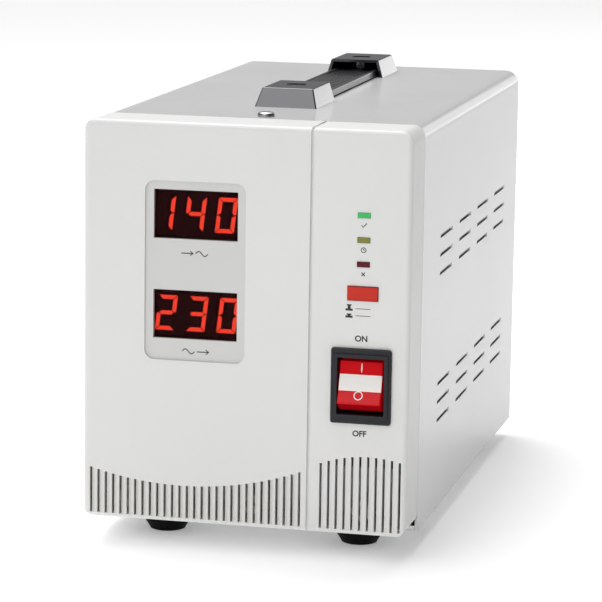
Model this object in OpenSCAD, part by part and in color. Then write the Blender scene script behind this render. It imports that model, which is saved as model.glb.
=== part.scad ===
// Relay voltage stabilizer: moulded front panel, folded metal case, strap handle, rear outlets.
// Millimetres, +Z up. The origin is on the floor, midway between the foremost and rearmost points.

/* [Case] */
// Width over the case sides
body_w = 133.4; // [128:0.1:145]
// Depth from the front face to the rear edge
body_d = 253; // [245:1:275]
// Height of the front panel
panel_h = 162; // [158:1:175]
// Depth of the moulded front panel
panel_d = 24; // [22:0.5:28]
// How far the metal case reaches below the front panel
case_drop = 3; // [2.6:0.1:4]
// Height of the metal case above the floor
foot_lift = 8.5; // [8:0.1:12]
// Sheet thickness of the case
sheet_t = 1; // [0.8:0.05:1.2]
// Plate thickness of the chassis, bracket and rear panel
plate_t = 1.2; // [1:0.05:1.5]
// Outer bend radius along the top edges of the case
bend_r = 6; // [4:0.5:8]
// Seam between the front panel and the case
seam = 0.3; // [0.2:0.05:0.5]

/* [Front panel] */
// Wall thickness of the moulding
wall = 2.4; // [2:0.1:3]
// Radius of the four corners seen from the front
corner_r = 5; // [4:0.5:6]
// Rounding of the front edges
edge_r = 2; // [1:0.1:2.5]
// Width of the control zone on the right
zone_w = 40.1; // [38:0.1:42]
// Width of the groove between the two zones
groove_w = 1.2; // [0.8:0.1:1.6]
// Depth of the groove
groove_deep = 1; // [0.6:0.1:1.4]

/* [Display] */
// Distance from the left side to the middle of the displays
display_inset = 46.1; // [44:0.1:48]
// Width of a display window
window_w = 34.5; // [33:0.1:36]
// Height of a display window
window_h = 19.7; // [19:0.1:21]
// Height of the input window's middle above the panel's lower edge
input_z = 125.2; // [123:0.1:127]
// Height of the output window's middle above the panel's lower edge
output_z = 84.9; // [83:0.1:87]
// Width of the shallow recess round the windows
recess_w = 41.3; // [40:0.1:43]
// Height of the shallow recess
recess_h = 72.3; // [70:0.1:75]
// Height of the recess's middle above the panel's lower edge
recess_z = 102.5; // [101:0.1:104]
// Depth of the shallow recess
recess_deep = 0.8; // [0.5:0.1:1]
// Corner radius of the recess
recess_r = 4; // [2:0.5:6]
// Height of a digit
digit_h = 14.2; // [13.5:0.1:15]
// Distance between neighbouring digits
digit_pitch = 12.7; // [12:0.1:13]
// Width of a lit segment
segment_w = 1.6; // [1.2:0.1:1.8]
// Lean of the digits in degrees
digit_lean = 7; // [0:0.5:10]

/* [Controls] */
// Distance from the right side to the middle of the controls
control_inset = 19; // [18:0.1:20]
// Height of the working lamp above the panel's lower edge
working_z = 128.5; // [127:0.1:130]
// Height of the delay lamp
delay_z = 118.7; // [117:0.1:120]
// Height of the abnormal lamp
abnormal_z = 109.1; // [108:0.1:111]
// Width of a lamp
lamp_w = 5; // [4:0.1:6]
// Height of a lamp
lamp_h = 2; // [1.5:0.1:3]
// Height of the delay button's middle
button_z = 97.5; // [96:0.1:99]
// Width of the delay button
button_w = 12; // [11:0.1:13]
// Height of the delay button
button_h = 5.4; // [5:0.1:6]
// How far the delay button stands out
button_out = 0.8; // [0.4:0.1:1.5]
// Travel of the delay button
button_travel = 2.5; // [2:0.1:3]

/* [Power switch] */
// Width of the switch bezel
bezel_w = 24.4; // [24:0.1:26]
// Height of the switch bezel
bezel_h = 30.3; // [30:0.1:32]
// Height of the switch's middle above the panel's lower edge
switch_z = 60.5; // [59:0.1:62]
// Width of the opening in the bezel
rocker_hole_w = 19; // [18.6:0.1:19.4]
// Height of the opening in the bezel
rocker_hole_h = 22.8; // [22.7:0.1:23.2]
// Width of the rocker
rocker_w = 17.4; // [17:0.1:17.8]
// Half the length of the rocker's middle facet
facet_half = 3.3; // [2.8:0.1:3.6]
// Half the length of the rocker's face
rocker_half = 8.6; // [8.2:0.1:8.8]
// Slope of the rocker's end facets in degrees
facet_slope = 9; // [7:0.5:10]
// Tilt of the rocker from its middle to either end of its travel, in degrees
rocker_tilt = 18; // [14:0.5:19]
// Depth of the rocker's middle facet before its pivot
facet_deep = 5.2; // [5:0.1:5.4]
// Depth of the rocker's pivot behind the panel's face
pivot_deep = 3.2; // [3:0.1:4]
// Radius of the rocker's pivot pins
pivot_r = 1.5; // [1.2:0.1:1.7]

/* [Grilles] */
// Number of slots in the wide grille
wide_slots = 29; // [20:1:31]
// Pitch of the wide grille
wide_pitch = 3.09; // [2.9:0.01:3.1]
// Number of slots in the narrow grille
narrow_slots = 11; // [7:1:12]
// Pitch of the narrow grille
narrow_pitch = 3.2; // [2.8:0.01:3.2]
// Width of a slot
slot_w = 1; // [0.8:0.05:1.3]
// Height of the slots' lower ends above the panel's lower edge
slot_low = 1.8; // [1.6:0.1:3]
// Radius of the hollow arc along the wide grille's upper edge
wide_arc_r = 137; // [130:1:150]
// Lowest height of that arc
wide_arc_z = 15.2; // [14:0.1:17]
// Radius of the domed arc along the narrow grille's upper edge
narrow_arc_r = 53; // [50:1:60]
// Highest point of that arc
narrow_arc_z = 32; // [30:0.1:34]

/* [Louvres] */
// Length of a louvre
louvre_len = 27; // [25:0.5:29]
// Height of a louvre
louvre_h = 3; // [2:0.1:3.5]
// How far a louvre's lower edge is pressed in
louvre_in = 2; // [1.8:0.1:2.4]
// Distance between louvres in a row
louvre_pitch = 43.4; // [42:0.1:45]
// Distance between rows
row_pitch = 7.75; // [7:0.05:9]
// Distance of the first louvre from the front face
louvre_y = 62.5; // [60:0.5:66]
// Height of the upper group's middle row
upper_row_z = 102; // [99:0.1:105]
// Height of the lower group's middle row
lower_row_z = 40.2; // [37:0.1:43]

/* [Handle] */
// Width of a handle cap at its foot
cap_w = 26.2; // [26:0.1:28]
// Width of a handle cap at its top
cap_top_w = 21.6; // [21.4:0.1:23]
// Height of a handle cap
cap_h = 7.8; // [7.7:0.1:9]
// Length of a handle cap at its foot
cap_len = 34.5; // [33:0.5:37]
// Slope of a cap's outer end, measured along the case
cap_slope = 3.6; // [3:0.1:4]
// Length over both handle caps
handle_len = 168.5; // [160:0.5:172]
// Distance of the front cap from the front face
handle_y = 64.5; // [60:0.5:68]
// Width of the strap
strap_w = 20; // [19:0.1:20.2]
// Thickness of the strap
strap_t = 3.2; // [2.8:0.1:3.3]
// Free lift of the strap inside its caps
strap_lift = 2.2; // [1.5:0.1:2.3]

/* [Feet] */
// Radius of a foot at its top
foot_top_r = 12.8; // [11:0.1:13]
// Radius of a foot at its sole
foot_sole_r = 7.6; // [6.5:0.1:8]
// Distance of the feet from the sides of the case
foot_inset = 26; // [23:0.5:30]
// Distance of the front feet from the front face
foot_y = 35; // [35:0.5:40]

/* [Transformer] */
// Room between the toroidal transformer and the sides of the case
toroid_side_room = 9.7; // [8:0.1:14]
// Room before and behind the transformer, half of the two together
toroid_end_room = 12.5; // [11:0.1:16]
// Shift of the transformer towards the rear
toroid_shift = 8.7; // [4:0.1:9]
// Radius of its centre hole, as a share of its outer radius
toroid_hole_share = 0.3; // [0.26:0.01:0.34]
// Height of the wound toroid
toroid_h = 58; // [50:1:62]
// Thickness of the winding over the core, as a share of the outer radius
winding_share = 0.16; // [0.12:0.01:0.18]
// Radius of the clamping bolt
clamp_bolt_r = 4; // [3:0.5:5]

/* [Rear] */
// Width and height of an outlet's flange
outlet_w = 50; // [48:0.5:52]
// Radius of an outlet's well
well_r = 19.5; // [19.3:0.1:20]
// Depth of an outlet's well
well_deep = 17.5; // [16.5:0.1:18]
// Distance of the outlets from the middle of the case
outlet_x = 28; // [27.5:0.5:30]
// Height of the outlets' middle
outlet_z = 112; // [106:1:116]
// Height of the breaker and cord bush
service_z = 50; // [44:1:56]
// Distance of the breaker and cord bush from the sides of the case
service_inset = 26.7; // [23:0.1:31]
// Travel of the breaker's button when it trips
breaker_travel = 3.7; // [3:0.1:4.5]
// Radius of the bore of the cord bush
cord_bore_r = 4.6; // [4:0.1:5]

/* [Hidden] */
$fn = 64;

// Overrun of every cut past the face it opens
cut = 1;
// Clearance between pieces that are fitted but do not move
fit = 0.1;
// Clearance between pieces that move past each other
gap = 0.3;
// Running clearance of a pivot in its hole
run_fit = 0.05;

// Heights in the case's own frame, whose zero is the front panel's lower edge
case_low = -case_drop;
floor_low = case_low + sheet_t;
floor_top = floor_low + plate_t;
case_in_top = panel_h - sheet_t;
panel_z = foot_lift + case_drop;
sole_z = -panel_z;

// Places across the front, in the case's own frame
groove_x = body_w / 2 - zone_w;
display_x = -body_w / 2 + display_inset;
control_x = body_w / 2 - control_inset;
wide_x = (groove_x - body_w / 2) / 2;
narrow_x = body_w / 2 - zone_w / 2 + groove_w;

// Case cover
cover_y = panel_d + seam;
cover_len = body_d - cover_y;
flange_w = 11;
lip_w = 9;
lip_y = body_d - plate_t - sheet_t;
louvre_taper = 2.4;
louvres_per_row = 4;
rows_per_group = 3;
cover_screw_y = 31.5;
cover_screw_r = 1.6;
cover_head_r = 3.5;
cover_screw_len = 5;
tongue_w = 17;
tongue_t = 2.6;
tongue_past_screw = 7;
tongue_reach = cover_screw_y + tongue_past_screw;

// Chassis
floor_w = body_w - 2 * sheet_t - 2 * fit;
floor_y = panel_d + seam;
floor_end = lip_y - gap;
side_lip_h = 11;
side_lip_inset = 8;
upstand_h = 24;
panel_screw_x_shares = [-0.36, 0.02, 0.36];
panel_screw_z = 9;
screw_r = 1.7;
head_r = 3.3;
head_h = 2;
boss_r = 4;
base_screw_x = (body_w - flange_w - sheet_t) / 2;
base_screw_inset = 36;

// Display, in the order from the panel's wall backwards
lens_t = 1.5;
lens_margin = 2;
display_w = 38;
display_h = 19;
display_deep = 8;
display_front = wall + lens_t + gap;
segment_t = 0.2;
segment_gap = 0.25;
digit_w = 7.8;
board_t = 1.6;
board_y = display_front + display_deep;
display_board_w = 54;
display_board_h = 88;
mask_digit_share = 0.5;
input_shift = -1;
post_r = 2.8;
post_inset = 4;
small_screw_r = 1.2;
small_head_r = 2.4;
small_head_h = 1.5;
small_screw_reach = 6;

// Lamps and delay switch
lamp_out = 0.3;
lamp_lens_end = 6;
lamp_base_margin = 0.3;
lamp_base_t = 2;
lamp_pin_w = 0.5;
lamp_pin_pitch = 2.54;
indicator_w = 20;
indicator_below_button = 12;
indicator_above_lamps = 8;
indicator_low = button_z - indicator_below_button;
indicator_h = working_z + indicator_above_lamps - indicator_low;
indicator_post_x = 7;
indicator_post_inset = 3;
indicator_post_low = indicator_low + indicator_post_inset;
indicator_post_high = indicator_low + indicator_h - indicator_post_inset;
button_back = 3.6;
button_rim = 1.2;
stem_w = 4;
stem_h = 2.5;
stem_end = 7.6;
delay_body_w = 8.5;
delay_body_y = button_back + button_travel + gap;
stem_hole_end = stem_end + button_travel + gap;

// Power switch
rim_w = 1.5;
rim_out = 2;
bezel_out = 1.4;
bezel_r = 1.2;
bezel_lap = 1.4;
housing_w = bezel_w - 2 * bezel_lap;
housing_h = bezel_h - 2 * bezel_lap;
housing_deep = 24;
rocker_room = 15.5;
rocker_end_deep = facet_deep + (rocker_half - facet_half) * tan(facet_slope);
rocker_end_r = norm([rocker_end_deep, rocker_half]);
rocker_back = 3.4;
pivot_bite = 0.9;
pivot_len = rocker_hole_w / 2 - rocker_w / 2 + pivot_bite;
rocker_reach = rocker_end_deep * cos(rocker_tilt) + rocker_half * sin(rocker_tilt) - pivot_deep;
catch_out = 0.9;
catch_len = 5;
terminal_w = 4.8;
terminal_t = 0.8;
terminal_len = 8;
terminal_x = 5;
terminal_z = 6.5;

// Handle
cap_wall = 1.2;
cap_mouth_slope = 0.6;
cap_screw_inset = 19.5;
cap_boss_r = 4.9;
cap_recess_r = 3.9;
cap_recess_deep = 2.4;
handle_screw_r = 2;
handle_head_r = 3.5;
handle_head_h = 1.9;
handle_screw_len = 13;
nut_r = 4;
nut_t = 3.2;
strap_seat = 0.3;
strap_inset = 5;
strap_slot_gap = 0.5;
strap_slot_r = cap_boss_r + strap_slot_gap;
strap_slot_play = 1.5;
ridge_r = 0.9;
rib_w = 1.6;
rib_h = 0.35;
rib_count = 5;
handle_mid_y = handle_y + handle_len / 2;
front_screw_y = handle_y + cap_screw_inset;
rear_screw_y = handle_y + handle_len - cap_screw_inset;

// Feet
foot_screw_r = 1.8;
foot_well_r = 4.4;
foot_well_h = 5.5;
foot_head_h = 2.2;
foot_head_r = 3.6;
foot_edge = 0.8;
foot_screw_reach = 3;
foot_x = body_w / 2 - foot_inset;
rear_foot_shift = 4;
rear_foot_y = body_d - foot_y + rear_foot_shift;

// Transformer, in the room between the relays and the breaker
bracket_y = 50;
spacer_len = 5;
relay_deep = 15;
breaker_deep = 34;
breaker_blade = 8;
toroid_front_room = bracket_y + plate_t + spacer_len + board_t + relay_deep;
toroid_rear_room = body_d - plate_t - breaker_deep - breaker_blade;
toroid_r = min(body_w / 2 - sheet_t - toroid_side_room,
               (toroid_rear_room - toroid_front_room) / 2 - toroid_end_room);
toroid_y = (toroid_front_room + toroid_rear_room) / 2 + toroid_shift;
toroid_hole_r = toroid_r * toroid_hole_share;
winding_t = toroid_r * winding_share;
pad_t = 3;
pad_r_share = 0.75;
plate_r_share = 0.64;
plate_dish = 5;
clamp_t = 2;
winding_round_share = 0.125;
winding_round = toroid_r * winding_round_share;
winding_low = floor_top + pad_t;
winding_top = winding_low + toroid_h;
core_gap = 0.2;
clamp_seat = winding_top + pad_t;
bolt_head_r = 6.8;
bolt_head_h = 5;
bolt_hole_gap = 0.2;
clamp_nut_h = 6.5;
clamp_nut_r = 7.4;
bolt_past_nut = 5;

// Relay board
relay_board_inset = 12.7;
relay_board_w = body_w - 2 * relay_board_inset;
relay_board_h = 108;
relay_board_low = 14;
bracket_foot = 13;
upright_w = 12;
upright_inset = 10;
upright_x = relay_board_w / 2 - upright_inset;
spacer_r = 3;
relay_board_y = bracket_y + plate_t + spacer_len;
spacer_inset = 8;
spacer_low = relay_board_low + spacer_inset;
spacer_high = relay_board_low + relay_board_h - spacer_inset;
board_back = relay_board_y + board_t;
relay_w = 15.5;
relay_h = 19;
relay_count = 5;
relay_pitch = relay_board_w / relay_count;
relay_rise = 14;
relay_z = relay_board_low + relay_rise;
capacitor_x_shares = [-0.36, -0.2, 0.3];
capacitor_r_shares = [1, 1, 0.7];
capacitor_r = 6;
capacitor_len = 16;
capacitor_rise = 29;
capacitor_z = relay_z + capacitor_rise;
tab_w = 6.3;
tab_t = 0.8;
tab_len = 8;
tap_count = 6;
tap_pitch = 12;
tap_angle = 40;
tap_z_share = 0.76;
tap_z = relay_board_low + tap_z_share * relay_board_h;
feed_rise = 14;
feed_z = tap_z + feed_rise;
feed_x = 20;
feed_pitch = 14;
front_tab_x = 30;
front_tab_z = 80;

// Ribbon cable between the display board and the relay board
ribbon_w = 18;
ribbon_t = 0.8;
plug_deep = 6;
plug_h = 8;
ribbon_from = board_y + board_t + plug_deep - ribbon_t;
ribbon_to = relay_board_y - plug_deep;
ribbon_r = (ribbon_to - ribbon_from) / 2;
ribbon_rise = 11.5;
ribbon_z = recess_z - display_board_h / 2 + ribbon_rise;

// Leads
lead_r = 1.3;
lead_sides = 8;
lead_steps = 4;
lead_bend = 12;
lead_stub = 4;
lead_sag = 6;
link_rise = 6;
tap_ring_share = 0.83;
tap_ring_r = toroid_r * tap_ring_share;

// Rear
service_x = body_w / 2 - service_inset;
outlet_flange_t = 3;
outlet_can_r = 21.4;
outlet_can_len = 32;
outlet_corner_r = 5;
outlet_floor_t = 5;
pin_hole_r = 2.5;
pin_pitch = 19;
pin_hole_deep = 11;
key_w = 5;
key_out = 1.4;
clip_w = 5;
clip_t = 0.8;
clip_len = 12;
outlet_screw_x = 21;
outlet_back = body_d + outlet_flange_t - outlet_can_len;
breaker_w = 15.5;
breaker_h = 34;
breaker_bush_r = 6;
breaker_bush_lip = 1.3;
breaker_bush_out = breaker_travel + breaker_bush_lip;
breaker_nut_r = 9;
breaker_nut_t = 3;
breaker_button_r = 4;
breaker_button_out = 2;
breaker_blade_z = 6;
bush_flange_r = 11;
bush_flange_t = 4;
bush_neck_r = 8;
bush_ring_r = 9.5;
bush_ring_t = 3;
bush_round = 1.5;
rear_screw_z_shares = [0.12, 0.5, 0.88];
rear_screw_top_share = 0.25;
rear_flange_len = 12;
rear_flange_w = 100;
rear_flange_screw_share = 0.34;
rear_flange_screw_inset = 8;
rear_flange_screw_y = body_d - rear_flange_screw_inset;
bracket_screw_gap = 3.9;
bracket_screw_x = foot_x - foot_top_r - bracket_screw_gap;
bracket_screw_inset = 6;
bracket_screw_y = bracket_y - bracket_screw_inset;
stud_x = -15;
stud_inset = 28;
stud_y = body_d - stud_inset;
stud_r = 2;
stud_h = 10;

// Middle of the part from the foremost point of the rocker to the rearmost point of the breaker
rear_reach = breaker_bush_out + breaker_button_out;
front_y = -(body_d + rear_reach - rocker_reach) / 2;

case_colour = [0.83, 0.83, 0.82];
panel_colour = [0.9, 0.9, 0.88];
black = [0.07, 0.07, 0.08];
steel = [0.72, 0.73, 0.75];
brass = [0.8, 0.66, 0.3];
board_colour = [0.12, 0.36, 0.2];

// Carries what follows into the case's own frame
module case_frame() {
    translate([0, front_y, panel_z]) children();
}

// Stretches an outline in x and z along the depth
module along_y(from, len) {
    translate([0, from + len, 0]) rotate([90, 0, 0]) linear_extrude(len) children();
}

// Stretches an outline in y and z along the width
module along_x(from, len) {
    translate([from, 0, 0]) rotate([90, 0, 90]) linear_extrude(len) children();
}

// A round bar that runs back from a point
module bar_y(r, from, len) {
    translate([0, from, 0]) rotate([-90, 0, 0]) cylinder(r = r, h = len);
}

// A block given by its middle in x and z, its front face and its sizes
module block_y(w, h, from, len) {
    translate([-w / 2, from, -h / 2]) cube([w, len, h]);
}

// A rectangle with round corners about its own middle
module round_rect(w, h, r) {
    square([w - 2 * r, h], center = true);
    square([w, h - 2 * r], center = true);
    for (x = [-1, 1], y = [-1, 1])
        translate([x * (w / 2 - r), y * (h / 2 - r)]) circle(r);
}

// The outline of a folded cover: square below, round at the two upper corners
module arch(w, low, high, r) {
    translate([-w / 2, low]) square([w, high - r - low]);
    translate([-w / 2 + r, low]) square([w - 2 * r, high - low]);
    for (s = [-1, 1])
        translate([s * (w / 2 - r), high - r]) circle(r);
}

// A rectangle from zero whose first edge in x is rounded at both ends
module round_nose(deep, span, r) {
    translate([r, 0]) square([deep - r, span]);
    translate([0, r]) square([deep, span - 2 * r]);
    for (z = [r, span - r])
        translate([r, z]) circle(r);
}

// A slab with round corners and softened front edges, its lower left corner at zero
module soft_slab(w, h, deep, corner, edge) {
    intersection() {
        along_y(0, deep) translate([0, h / 2]) round_rect(w, h, corner);
        along_x(-w / 2 - cut, w + 2 * cut) round_nose(deep + cut, h, edge);
        translate([0, 0, -cut]) linear_extrude(h + 2 * cut)
            translate([-w / 2, 0]) rotate(90) mirror([0, 1]) round_nose(deep + cut, w, edge);
    }
}

// A screw whose head lies in front of zero and whose shank runs back
module screw_y(r, len, head, height) {
    bar_y(r, 0, len);
    bar_y(head, -height, height);
}

// Height of the wide grille's upper edge at x
function wide_top(x) = wide_arc_z + wide_arc_r - sqrt(pow(wide_arc_r, 2) - pow(x - wide_arc_x, 2));
wide_arc_shift = 5.2;
wide_arc_x = wide_x - wide_arc_shift;

// Height of the narrow grille's upper edge at x
function narrow_top(x) =
    narrow_arc_z - narrow_arc_r + sqrt(pow(narrow_arc_r, 2) - pow(x - narrow_arc_x, 2));
narrow_arc_shift = 3.4;
narrow_arc_x = control_x + narrow_arc_shift;

// Places of the display board's four posts
display_post_x = display_board_w / 2 - post_inset;
display_post_z = display_board_h / 2 - post_inset;

module display_posts() {
    for (x = [-1, 1], z = [-1, 1])
        translate([display_x + x * display_post_x, 0, recess_z + z * display_post_z]) children();
}

module indicator_posts() {
    translate([control_x + indicator_post_x, 0, indicator_post_high]) children();
    translate([control_x - indicator_post_x, 0, indicator_post_low]) children();
}

module panel_screw_places() {
    for (share = panel_screw_x_shares)
        translate([share * body_w, 0, panel_screw_z]) children();
}

module lamp_places() {
    for (z = [working_z, delay_z, abnormal_z])
        translate([control_x, 0, z]) children();
}

module grille_slots() {
    for (i = [0 : wide_slots - 1]) {
        x = wide_x + (i - (wide_slots - 1) / 2) * wide_pitch;
        translate([x - slot_w / 2, -cut, slot_low]) cube([slot_w, wall + 2 * cut, wide_top(x) - slot_low]);
    }
    for (i = [0 : narrow_slots - 1]) {
        x = narrow_x + (i - (narrow_slots - 1) / 2) * narrow_pitch;
        translate([x - slot_w / 2, -cut, slot_low])
            cube([slot_w, wall + 2 * cut, narrow_top(x) - slot_low]);
    }
}

module front_panel() {
    color(panel_colour) case_frame() difference() {
        union() {
            difference() {
                soft_slab(body_w, panel_h, panel_d, corner_r, edge_r);
                along_y(wall, panel_d) translate([0, panel_h / 2])
                    round_rect(body_w - 2 * wall, panel_h - 2 * wall, corner_r - wall);
            }
            translate([-tongue_w / 2, wall / 2, case_in_top - fit - tongue_t])
                cube([tongue_w, tongue_reach - wall / 2, tongue_t]);
            panel_screw_places() bar_y(boss_r, wall / 2, panel_d - wall / 2);
            display_posts() bar_y(post_r, wall / 2, board_y - wall / 2);
            indicator_posts() bar_y(post_r, wall / 2, board_y - wall / 2);
        }
        translate([display_x, 0, recess_z]) along_y(-cut, cut + recess_deep)
            round_rect(recess_w, recess_h, recess_r);
        for (z = [input_z, output_z])
            translate([display_x, 0, z]) block_y(window_w, window_h, -cut, wall + 2 * cut);
        translate([groove_x, 0, panel_h / 2])
            block_y(groove_w, panel_h + 2 * cut, -cut, cut + groove_deep);
        translate([groove_x - groove_w / 2, 0, panel_h - groove_deep])
            cube([groove_w, panel_d + cut, groove_deep + cut]);
        grille_slots();
        lamp_places() block_y(lamp_w + gap, lamp_h + gap, -cut, wall + 2 * cut);
        translate([control_x, 0, button_z])
            block_y(button_w + 2 * gap, button_h + 2 * gap, -cut, wall + 2 * cut);
        translate([control_x, 0, switch_z])
            block_y(housing_w + 2 * fit, housing_h + 2 * fit, -cut, wall + 2 * cut);
        translate([0, cover_screw_y, case_in_top - tongue_t - cut])
            cylinder(r = cover_screw_r + run_fit, h = tongue_t + 2 * cut);
        panel_screw_places() bar_y(screw_r + run_fit, wall, panel_d);
        display_posts() bar_y(small_screw_r + run_fit, wall, board_y);
        indicator_posts() bar_y(small_screw_r + run_fit, wall, board_y);
    }
}

module display_lenses() {
    color([0.16, 0.02, 0.03]) case_frame() for (z = [input_z, output_z])
        translate([display_x, 0, z])
            block_y(window_w + 2 * lens_margin, window_h + 2 * lens_margin, wall, lens_t);
}

module display_block(z, shift) {
    color(black) case_frame() translate([display_x + shift, 0, z])
        block_y(display_w, display_h, display_front, display_deep);
}

module input_display() {
    display_block(input_z, input_shift);
}

module output_display() {
    display_block(output_z, 0);
}

// The seven segments in the order top, upper right, lower right, bottom, lower left, upper left, middle
SEGMENTS = [
    [1, 1, 1, 1, 1, 1, 0],
    [0, 1, 1, 0, 0, 0, 0],
    [1, 1, 0, 1, 1, 0, 1],
    [1, 1, 1, 1, 0, 0, 1],
    [0, 1, 1, 0, 0, 1, 1]
];

// The bar at a digit's upper right, mitred above and pointed below
module side_bar() {
    polygon([
        [digit_w / 2, digit_h / 2 - segment_gap], [digit_w / 2, segment_gap],
        [digit_w / 2 - segment_w / 2, segment_gap],
        [digit_w / 2 - segment_w, segment_w / 2 + segment_gap],
        [digit_w / 2 - segment_w, digit_h / 2 - segment_w - segment_gap]
    ]);
}

// The bar along a digit's top, mitred at both ends
module top_bar() {
    outer = digit_w / 2 - segment_gap;
    polygon([
        [-outer, digit_h / 2], [outer, digit_h / 2],
        [outer - segment_w, digit_h / 2 - segment_w], [segment_w - outer, digit_h / 2 - segment_w]
    ]);
}

// The bar across a digit's middle, pointed at both ends
module middle_bar() {
    tip = digit_w / 2 - segment_w / 2 - segment_gap;
    polygon([
        [-tip, 0], [segment_w / 2 - tip, segment_w / 2], [tip - segment_w / 2, segment_w / 2],
        [tip, 0], [tip - segment_w / 2, -segment_w / 2], [segment_w / 2 - tip, -segment_w / 2]
    ]);
}

// A digit from its row of lit segments
module digit(lit) {
    multmatrix([[1, tan(digit_lean), 0, 0], [0, 1, 0, 0], [0, 0, 1, 0], [0, 0, 0, 1]]) {
        if (lit[0] == 1) top_bar();
        if (lit[1] == 1) side_bar();
        if (lit[2] == 1) mirror([0, 1]) side_bar();
        if (lit[3] == 1) mirror([0, 1]) top_bar();
        if (lit[4] == 1) rotate(180) side_bar();
        if (lit[5] == 1) mirror([1, 0]) side_bar();
        if (lit[6] == 1) middle_bar();
    }
}

module digits(values, z, shift) {
    color([0.95, 0.25, 0.1]) case_frame() for (i = [0 : len(values) - 1])
        translate([display_x + shift + (i - 1) * digit_pitch, 0, z])
            along_y(display_front - segment_t, segment_t) digit(SEGMENTS[values[i]]);
}

module input_digits() {
    digits([1, 4, 0], input_z, input_shift);
}

module output_digits() {
    digits([2, 3, 0], output_z, 0);
}

module display_board() {
    color(board_colour) case_frame() difference() {
        translate([display_x, 0, recess_z]) block_y(display_board_w, display_board_h, board_y, board_t);
        display_posts() bar_y(small_screw_r + run_fit, board_y - cut, board_t + 2 * cut);
    }
}

module lamp(z, tint) {
    color(tint) case_frame() translate([control_x, 0, z]) {
        block_y(lamp_w, lamp_h, -lamp_out, lamp_lens_end + lamp_out);
        block_y(lamp_w + 2 * lamp_base_margin, lamp_h + 2 * lamp_base_margin, lamp_lens_end, lamp_base_t);
        for (s = [-1, 1])
            translate([s * lamp_pin_pitch / 2, 0, 0])
                block_y(lamp_pin_w, lamp_pin_w, lamp_lens_end + lamp_base_t,
                        board_y - lamp_lens_end - lamp_base_t);
    }
}

module working_lamp() {
    lamp(working_z, [0.1, 0.75, 0.25]);
}

module delay_lamp() {
    lamp(delay_z, [0.75, 0.7, 0.1]);
}

module abnormal_lamp() {
    lamp(abnormal_z, [0.55, 0.05, 0.1]);
}

module indicator_board() {
    color(board_colour) case_frame() difference() {
        translate([control_x, 0, indicator_low + indicator_h / 2])
            block_y(indicator_w, indicator_h, board_y, board_t);
        indicator_posts() bar_y(small_screw_r + run_fit, board_y - cut, board_t + 2 * cut);
    }
}

module delay_switch_body() {
    color(black) case_frame() translate([control_x, 0, button_z]) difference() {
        block_y(delay_body_w, delay_body_w, delay_body_y, board_y - delay_body_y);
        block_y(stem_w + 2 * gap, stem_h + 2 * gap, delay_body_y - cut, cut + stem_hole_end - delay_body_y);
    }
}

module delay_button() {
    color([0.9, 0.25, 0.12]) case_frame() translate([control_x, 0, button_z]) {
        block_y(button_w, button_h, -button_out, button_out + button_back);
        block_y(button_w + 2 * button_rim, button_h + 2 * button_rim, wall + gap, button_back - wall - gap);
        block_y(stem_w, stem_h, button_back, stem_end - button_back);
    }
}

module board_screws() {
    color(steel) case_frame() {
        display_posts() translate([0, board_y + board_t, 0]) small_screw();
        indicator_posts() translate([0, board_y + board_t, 0]) small_screw();
    }
}

// A small screw put in from behind a board
module small_screw() {
    bar_y(small_screw_r, -board_t - small_screw_reach, board_t + small_screw_reach);
    bar_y(small_head_r, 0, small_head_h);
}

module power_switch_housing() {
    color([0.22, 0.23, 0.25]) case_frame() translate([control_x, 0, switch_z]) difference() {
        union() {
            translate([0, -bezel_out, -bezel_h / 2])
                soft_slab(bezel_w, bezel_h, bezel_out, bezel_r, bezel_out / 2);
            along_y(-rim_out, rim_out)
                round_rect(rocker_hole_w + 2 * rim_w, rocker_hole_h + 2 * rim_w, rim_w / 2);
            block_y(housing_w, housing_h, -bezel_out / 2, housing_deep + bezel_out / 2);
            for (s = [-1, 1])
                scale([1, 1, s]) along_x(-catch_len, 2 * catch_len)
                    polygon([[wall + fit, housing_h / 2 - fit], [wall + fit, housing_h / 2 + catch_out],
                             [wall + catch_len, housing_h / 2 - fit]]);
        }
        block_y(rocker_hole_w, rocker_hole_h, -rim_out - cut, rim_out + cut + rocker_room);
        translate([-housing_w / 2 - cut, pivot_deep, 0]) rotate([0, 90, 0])
            cylinder(r = pivot_r + run_fit, h = housing_w + 2 * cut);
    }
}

// The rocker about its pivot, level, then tilted into its ON rest
module power_rocker() {
    color([0.85, 0.08, 0.1]) case_frame() translate([control_x, pivot_deep, switch_z]) {
        along_x(-rocker_w / 2, rocker_w) rotate(-rocker_tilt) intersection() {
            circle(rocker_end_r);
            polygon([
                [-facet_deep, -facet_half], [-facet_deep, facet_half],
                [-rocker_end_deep, rocker_half], [-rocker_end_deep, rocker_end_r],
                [rocker_back, rocker_end_r], [rocker_back, -rocker_end_r],
                [-rocker_end_deep, -rocker_end_r], [-rocker_end_deep, -rocker_half]
            ]);
        }
        translate([-rocker_w / 2 - pivot_len, 0, 0]) rotate([0, 90, 0])
            cylinder(r = pivot_r, h = rocker_w + 2 * pivot_len);
    }
}

module switch_terminals() {
    color(brass) case_frame() for (x = [-1, 1], z = [-1, 1])
        translate([control_x + x * terminal_x, 0, switch_z + z * terminal_z])
            block_y(terminal_t, terminal_w, housing_deep, terminal_len);
}

// The sheet of one pressed-in louvre on the right-hand side, its slit along y at zero height
module louvre_skin() {
    intersection() {
        along_y(0, louvre_len)
            polygon([[-sheet_t / 2, 0], [-louvre_in - sheet_t, 0], [-sheet_t, louvre_h],
                     [-sheet_t / 2, louvre_h]]);
        translate([0, 0, -cut]) linear_extrude(louvre_h + 2 * cut)
            polygon([[0, 0], [-sheet_t, 0], [-louvre_in - sheet_t, louvre_taper],
                     [-louvre_in - sheet_t, louvre_len - louvre_taper], [-sheet_t, louvre_len],
                     [0, louvre_len]]);
    }
}

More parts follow.
